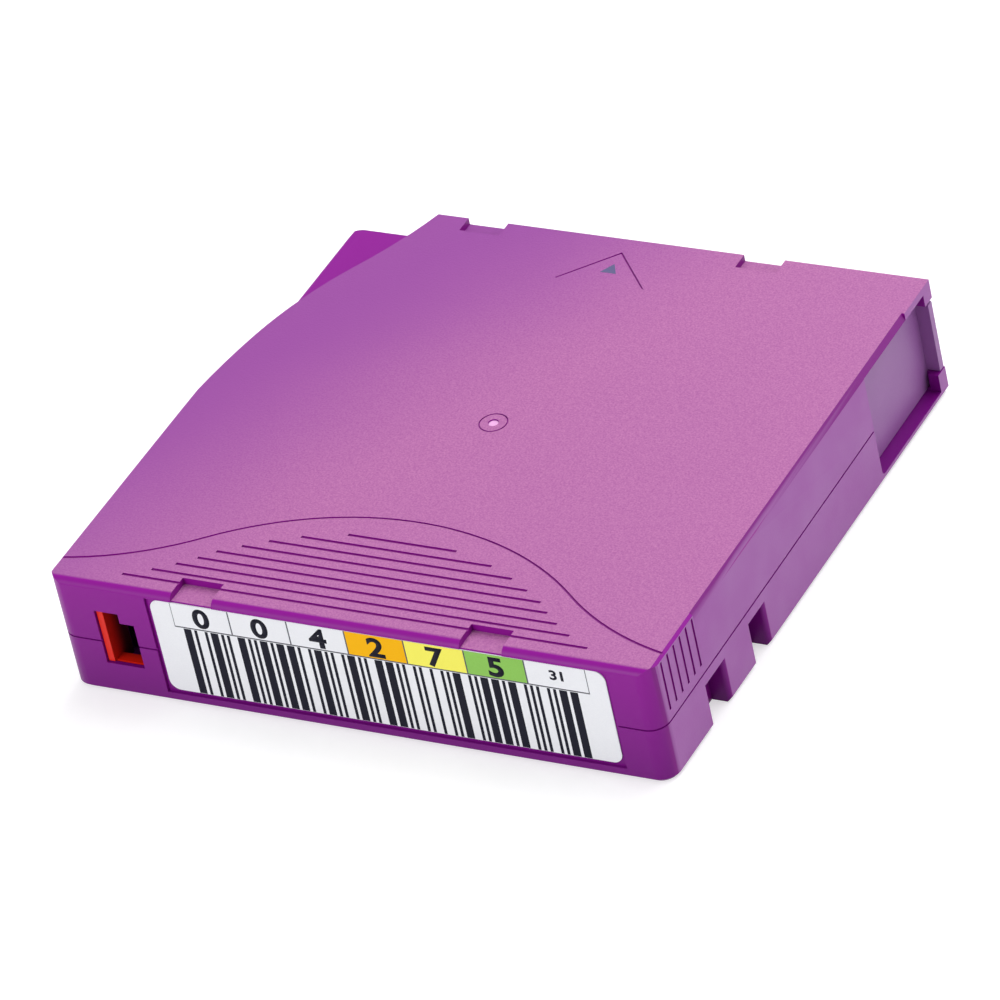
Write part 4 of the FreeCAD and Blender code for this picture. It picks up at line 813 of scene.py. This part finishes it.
@dataclass
class CaseShells:
    """The two shells, the door, the write-protect slider and the printed direction mark."""

    mark_tip: Pair = (0.2 * MM, 44.3 * MM)
    mark_base_y: float = 41.8 * MM
    mark_half_width: float = 1.45 * MM
    mark_thickness: float = 0.01 * MM
    # Where the tab's painted shade starts and is full, measured from the front.
    tab_shade_start: float = 1.2 * MM
    tab_shade_full: float = 4.6 * MM

    def build(self) -> list[bpy.types.Object]:
        """Make the printed mark, a thin triangle on the top that points to the entry end.

        Returns:
            The new pieces.
        """
        top = PACKED_BOX[1][2]
        tip_x, tip_y = self.mark_tip
        points = np.array([(tip_x - self.mark_half_width, self.mark_base_y, top),
                           (tip_x + self.mark_half_width, self.mark_base_y, top),
                           (tip_x, tip_y, top)])
        mark = mesh_from("direction_mark", points, np.array([(0, 1, 2)]))
        solid = mark.modifiers.new("sheet", "SOLIDIFY")
        solid.thickness = self.mark_thickness
        solid.offset = 1.0
        return [mark]

    def dress(self, pieces: list[bpy.types.Object]) -> None:
        """Give the case nodes, the worked upper shell and the mark their finishes.

        Args:
            pieces: What build made.
        """
        low, high = PACKED_BOX
        upper = TopEdges().build()
        upper.data.materials.clear()
        upper.data.materials.append(
            MouldedShell("moulded_top_shell", high.z, high.x).material())
        coat_node("bottom_shell",
                  MouldedShell("moulded_bottom_shell", high.z, high.x).material())
        coat_node("access_door", SmoothPlastic(
            "door_plastic", paint(150, 96, 160), paint(142, 86, 154), rough=0.4,
            mottle_size=12 * MM).material())
        # The tab's second colour is painted shade that deepens along y.
        coat_node("write_protect_tab", SunkPlastic(
            "tab_plastic", paint(224, 32, 16), paint(76, 20, 14), shade_start_y=low.y + self.tab_shade_start,
            shade_full_y=low.y + self.tab_shade_full).material())
        ink = PrintInk("mark_ink", paint(84, 92, 126), paint(120, 84, 140))
        for piece in pieces:
            piece.data.materials.append(ink.material())
            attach(piece, "case")
            LOG.info("%-22s built", piece.name)


@dataclass
class LabelPrint:
    """The label's coloured fields with one figure each, and its bars.

    The print lies in thin layers on the paper.  A field's level is not a whole number of layers,
    so that its faces and its frame's never coincide.  Edges holds the fields' sides in mm.
    """

    face_y: float
    top: float
    field_low: float = 15.3 * MM
    edges: tuple[float, ...] = (-30.9, -20.6, -10.2, -0.1, 10.2, 20.6, 30.9, 41.4)
    colours: tuple[str, ...] = ("white", "white", "white", "orange", "yellow", "green", "white")
    figures: tuple[str, ...] = ("0", "0", "4", "2", "7", "5", "31")
    figure_height: float = 3.8 * MM
    figure_stretch: float = 1.18
    figure_weight: float = 0.034
    figure_curve_parts: int = 6
    small_height: float = 1.9 * MM
    small_lift: float = 0.3 * MM
    bars_low: float = 2.55 * MM
    bars_high: float = 15.2 * MM
    bars_left: float = -29.4 * MM
    bars_right: float = 39.3 * MM
    wide_bar: float = 2.6
    layer: float = 0.012 * MM
    frame_level: float = 0.0
    field_level: float = 0.6
    line: float = 0.24 * MM
    margin: float = 0.05 * MM
    corner_cut: float = 0.01 * MM
    ring_count: int = 3
    merge_distance: float = 1e-7

    def flat_sheet(self, name: str, outline: np.ndarray, level: float) -> bpy.types.Object:
        """Make a thin flat sheet on the label.

        A point at (s, t) is s times the outline at t, measured from the outline's middle, with s
        from 0 to 1, so the first ring closes in the middle.

        Args:
            name: The piece's name.
            outline: Points of the edge in X and Z.
            level: How many ink layers lie between the paper and this sheet.

        Returns:
            The new piece.
        """
        middle = outline.mean(axis=0)
        rings = np.linspace(0, 1, self.ring_count)[:, None, None]
        flat = middle + rings * (outline - middle)[None]
        depth = np.full(flat.shape[:2], self.face_y - (level + 1) * self.layer)
        points = np.stack([flat[..., 0], depth, flat[..., 1]], axis=-1)
        piece = mesh_from(name, points, ring_faces(len(rings), len(outline)))
        self.face_outwards(piece)
        return piece

    def face_outwards(self, piece: bpy.types.Object) -> None:
        """Merge a flat mesh's doubled points and turn its faces away from the case."""
        work = bmesh.new()
        work.from_mesh(piece.data)
        bmesh.ops.remove_doubles(work, verts=work.verts, dist=self.merge_distance)
        bmesh.ops.recalc_face_normals(work, faces=work.faces)
        if sum(face.normal.y * face.calc_area() for face in work.faces) > 0:
            bmesh.ops.reverse_faces(work, faces=work.faces)
        work.to_mesh(piece.data)
        work.free()

    def bar_places(self) -> np.ndarray:
        """Work out the bars' left and right edges.

        Nine elements, five bars and four gaps, make a sign, a narrow gap follows it, and three of
        the nine are wide.  The three wide ones of each sign come from a fixed run of choices, so
        the pattern is even and means nothing.

        Returns:
            One row of two X values for each bar.
        """
        choices = [(0, 3, 6), (1, 2, 8), (2, 4, 7), (0, 5, 8), (3, 4, 6), (1, 5, 7), (2, 3, 8),
                   (0, 4, 5), (1, 6, 8)]
        elements, gap_after = 9, 1
        sizes = np.ones((len(choices), elements + gap_after))
        for row, wide in enumerate(choices):
            sizes[row, list(wide)] = self.wide_bar
        sizes = sizes.reshape(-1)[:-gap_after]
        stops = np.concatenate([[0], np.cumsum(sizes)])
        scale = (self.bars_right - self.bars_left) / stops[-1]
        edges = self.bars_left + stops * scale
        return np.stack([edges[0:-1:2], edges[1::2]], axis=-1)

    def make_bars(self) -> bpy.types.Object:
        """Make all the bars as one mesh of upright rectangles.

        Returns:
            The new piece.
        """
        spans = self.bar_places()
        corner_x = spans[:, [0, 1, 1, 0]]
        corner_z = np.array([self.bars_low, self.bars_low, self.bars_high, self.bars_high])
        corner_z = np.broadcast_to(corner_z, corner_x.shape)
        depth = np.full(corner_x.shape, self.face_y - self.layer)
        points = np.stack([corner_x, depth, corner_z], axis=-1)
        faces = np.arange(points.size // 3).reshape(-1, 4)
        return mesh_from("label_bars", points, faces)

    def make_figure(self, name: str, figure: str, centre: float, height: float,
                    middle: float) -> bpy.types.Object:
        """Make one plain figure as a flat mesh.

        Args:
            name: The piece's name.
            figure: The figure to draw.
            centre: X of its middle.
            height: How tall it stands.
            middle: Z of its middle.

        Returns:
            The new piece.
        """
        curve = bpy.data.curves.new(name, "FONT")
        curve.body = figure
        curve.size = 1.0
        curve.offset = self.figure_weight
        curve.resolution_u = self.figure_curve_parts
        shape = bpy.data.objects.new(name, curve)
        bpy.context.scene.collection.objects.link(shape)
        bpy.context.view_layer.update()
        mesh = bpy.data.meshes.new_from_object(shape)
        bpy.data.objects.remove(shape)
        flat = np.empty(len(mesh.vertices) * 3)
        mesh.vertices.foreach_get("co", flat)
        flat = flat.reshape(-1, 3)
        low, high = flat.min(axis=0), flat.max(axis=0)
        scale = height / (high[1] - low[1])
        wide = scale * self.figure_stretch
        placed = np.stack([centre + (flat[:, 0] - (low[0] + high[0]) / 2) * wide,
                           np.full(len(flat), self.face_y - 2 * self.layer),
                           middle + (flat[:, 1] - (low[1] + high[1]) / 2) * scale], axis=-1)
        mesh.vertices.foreach_set("co", placed.reshape(-1))
        mesh.update()
        piece = bpy.data.objects.new(name, mesh)
        bpy.context.scene.collection.objects.link(piece)
        return piece

    def build(self) -> dict[str, list[bpy.types.Object]]:
        """Make the fields, their frames, the figures and the bars.

        Returns:
            The new pieces, listed by the ink that they take.
        """
        pieces: dict[str, list[bpy.types.Object]] = {"black": [self.make_bars()]}
        field_high = self.top - self.margin
        middle_z = (self.field_low + field_high) / 2
        tall = field_high - self.field_low
        for index, (start, end) in enumerate(zip(self.edges[:-1], self.edges[1:])):
            centre = (start + end) / 2 * MM
            wide = (end - start) * MM
            outer = cut_rectangle(wide, tall, self.corner_cut) + (centre, middle_z)
            pieces.setdefault("grey", []).append(
                self.flat_sheet(f"label_frame_{index + 1}", outer, self.frame_level))
            inner = cut_rectangle(wide - self.line, tall - self.line, self.corner_cut)
            inner = inner + (centre, middle_z + self.line / 2)
            pieces.setdefault(self.colours[index], []).append(
                self.flat_sheet(f"label_field_{index + 1}", inner, self.field_level))
            last = index == len(self.figures) - 1
            height = self.small_height if last else self.figure_height
            lift = self.small_lift if last else 0.0
            pieces["black"].append(self.make_figure(
                f"label_figure_{index + 1}", self.figures[index], centre, height,
                middle_z + lift))
        return pieces

    def dress(self, pieces: dict[str, list[bpy.types.Object]]) -> None:
        """Give each printed piece its ink and its body, and the label its paper.

        Args:
            pieces: What build made.
        """
        coat_node("barcode_label", LabelPaper().material())
        inks = {
            "black": PrintInk("ink_black", paint(14, 14, 30), paint(26, 26, 44)),
            "grey": PrintInk("ink_grey", paint(84, 84, 94), paint(104, 104, 112)),
            "white": PrintInk("ink_white", paint(244, 245, 249), paint(234, 235, 242)),
            "orange": PrintInk("ink_orange", paint(252, 188, 12), paint(250, 178, 10)),
            "yellow": PrintInk("ink_yellow", paint(253, 247, 106), paint(250, 240, 94)),
            "green": PrintInk("ink_green", paint(146, 202, 96), paint(136, 192, 86)),
        }
        for colour, group in pieces.items():
            ink = inks[colour].material()
            for piece in group:
                piece.data.materials.clear()
                piece.data.materials.append(ink)
                solid = piece.modifiers.new("sheet", "SOLIDIFY")
                solid.thickness = self.layer
                solid.offset = -1.0
                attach(piece, "case")
                LOG.info("%-22s built in %s", piece.name, colour)


# ------------------------------------------------------------------------------------------------
# What is inside
# ------------------------------------------------------------------------------------------------

@dataclass
class ReelParts:
    """The reel, its steel plate, its wound tape, the tape's clip and the brake."""

    axis_y: float

    def dress(self) -> None:
        """Give the reel's and the brake's nodes their finishes."""
        pale = SmoothPlastic("reel_plastic", paint(214, 216, 220), paint(200, 203, 208),
                             rough=0.32)
        white = SmoothPlastic("brake_plastic", paint(232, 230, 222), paint(220, 217, 208),
                              rough=0.42)
        film = WoundFilm("tape_film", self.axis_y)
        for node in ("reel_hub", "upper_flange"):
            coat_node(node, pale.material())
        for node in ("brake_button", "release_spider", "leader_pin_clip"):
            coat_node(node, white.material())
        for node in ("tape_pack", "tape_leader"):
            coat_node(node, film.material())
        coat_node("reel_plate", DrawnSteel("plate_steel", stretch=(1, 14, 1)).material())


@dataclass
class SteelParts:
    """Springs, pin and screws."""

    def dress(self) -> None:
        """Give each steel node its finish."""
        wire = DrawnSteel("spring_wire", rough=0.3)
        turned = DrawnSteel("pin_steel", rough=0.18)
        plated = DrawnSteel("screw_steel", paint(176, 178, 184), paint(120, 122, 128),
                            rough=0.34)
        for node in ("door_spring", "brake_spring", "pin_retaining_spring"):
            coat_node(node, wire.material())
        coat_node("leader_pin", turned.material())
        coat_node("case_screws", plated.material())


@dataclass
class MemoryParts:
    """The small memory board and its chip."""

    def dress(self) -> None:
        """Give the board and the chip their finishes."""
        coat_node("memory_board", SmoothPlastic(
            "board_laminate", paint(26, 98, 58), paint(20, 84, 50), rough=0.3).material())
        coat_node("memory_chip", SmoothPlastic(
            "chip_resin", paint(30, 30, 34), paint(42, 42, 46), rough=0.5).material())


# ------------------------------------------------------------------------------------------------
# Studio
# ------------------------------------------------------------------------------------------------

@dataclass
class Studio:
    """Camera, plain floor, soft lamps and an even world.

    A lamp is its name, its place in metres, the side of its square and its power in watts.
    """

    eye: Place = (0.5689, -0.8310, 0.7230)
    right: Place = (0.87726, 0.44330, -0.18412)
    down: Place = (0.13301, -0.59304, -0.79411)
    ahead: Place = (-0.46122, 0.67215, -0.57921)
    lens: float = 283.63
    sensor: float = 36.0
    nearest: float = 0.05
    farthest: float = 50.0
    floor_half: float = 6.0
    floor_drop: float = 0.02 * MM
    floor_colours: tuple[Colour, Colour] = ((0.62, 0.62, 0.63), (0.6, 0.6, 0.61))
    floor_fleck: Pattern = Pattern(2 * MM)
    floor_rough: float = 0.9
    floor_glow: float = 0.55
    lamps: tuple[tuple[str, Place, float, float], ...] = (
        ("sky_lamp", (0.25, 0.95, 1.5), 1.5, 20.0),
        ("back_lamp", (0.05, 0.8, 0.62), 0.5, 3.0),
        ("side_lamp", (1.7, 0.6, 0.8), 1.1, 7.0),
        ("label_lamp", (-0.5, -1.7, 0.8), 0.9, 15.0),
    )
    lamp_aim: Place = (0, 0, 0.01)
    world_light: float = 0.5
    world_seen: float = 1.0

    def place_camera(self) -> None:
        """Place the camera from its three directions.

        A camera's own axes are right, up and back, so the turn's columns are the right direction,
        the opposite of the down direction and the opposite of the view direction.
        """
        lens = bpy.data.cameras.new("camera")
        lens.lens = self.lens
        lens.sensor_width = self.sensor
        lens.clip_start = self.nearest
        lens.clip_end = self.farthest
        camera = bpy.data.objects.new("camera", lens)
        bpy.context.scene.collection.objects.link(camera)
        turn = Matrix((self.right, [-part for part in self.down],
                       [-part for part in self.ahead])).transposed()
        camera.matrix_world = Matrix.Translation(self.eye) @ turn.to_4x4()
        bpy.context.scene.camera = camera
        LOG.info("camera placed")

    def lay_floor(self) -> None:
        """Lay a wide pale floor that shows as white where nothing shades it."""
        half, level = self.floor_half, -self.floor_drop
        points = np.array([(-half, -half, level), (half, -half, level), (half, half, level),
                           (-half, half, level)])
        floor = mesh_from("floor", points, np.array([(0, 1, 2, 3)]))
        sheet = NodeSheet("floor_paper")
        colour = sheet.mix(sheet.spread(self.floor_fleck), *self.floor_colours)
        sheet.finish(colour, self.floor_rough, specular=0.1)
        path = sheet.tree.nodes.new("ShaderNodeLightPath")
        seen = sheet.larger(path.outputs["Is Camera Ray"], path.outputs["Is Glossy Ray"])
        seen = sheet.larger(seen, path.outputs["Is Transmission Ray"])
        sheet.shader.inputs["Emission Color"].default_value = (1, 1, 1, 1)
        sheet.feed(sheet.shader.inputs["Emission Strength"], sheet.product(seen, self.floor_glow))
        floor.data.materials.append(sheet.material)

    def hang_lamps(self) -> None:
        """Hang the square soft lamps, each pointed at the cartridge."""
        for name, place, size, power in self.lamps:
            light = bpy.data.lights.new(name, "AREA")
            light.size = size
            light.energy = power
            lamp = bpy.data.objects.new(name, light)
            bpy.context.scene.collection.objects.link(lamp)
            aim = Vector(self.lamp_aim) - Vector(place)
            turn = aim.to_track_quat("-Z", "Y").to_matrix().to_4x4()
            lamp.matrix_world = Matrix.Translation(place) @ turn

    def light_world(self) -> None:
        """Make an even world, plain white to the camera and weaker as a light."""
        world = bpy.data.worlds.new("studio")
        world.use_nodes = True
        nodes, links = world.node_tree.nodes, world.node_tree.links
        back = nodes["Background"]
        back.inputs["Color"].default_value = (1, 1, 1, 1)
        path = nodes.new("ShaderNodeLightPath")
        level = nodes.new("ShaderNodeMapRange")
        level.inputs["To Min"].default_value = self.world_light
        level.inputs["To Max"].default_value = self.world_seen
        links.new(path.outputs["Is Camera Ray"], level.inputs["Value"])
        links.new(level.outputs["Result"], back.inputs["Strength"])
        bpy.context.scene.world = world

    def build(self) -> None:
        """Set up the whole studio."""
        self.place_camera()
        self.lay_floor()
        self.hang_lamps()
        self.light_world()
        bpy.context.scene.view_settings.view_transform = "Standard"


def main() -> None:
    """Build the studio and dress the cartridge, one sub-assembly after another."""
    Studio().build()
    case = CaseShells()
    case.dress(case.build())
    low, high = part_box("barcode_label")
    print_work = LabelPrint(face_y=low.y, top=high.z)
    print_work.dress(print_work.build())
    reel_low, reel_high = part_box("tape_pack")
    ReelParts(axis_y=(reel_low.y + reel_high.y) / 2).dress()
    SteelParts().dress()
    MemoryParts().dress()


if __name__ == "__main__":
    main()
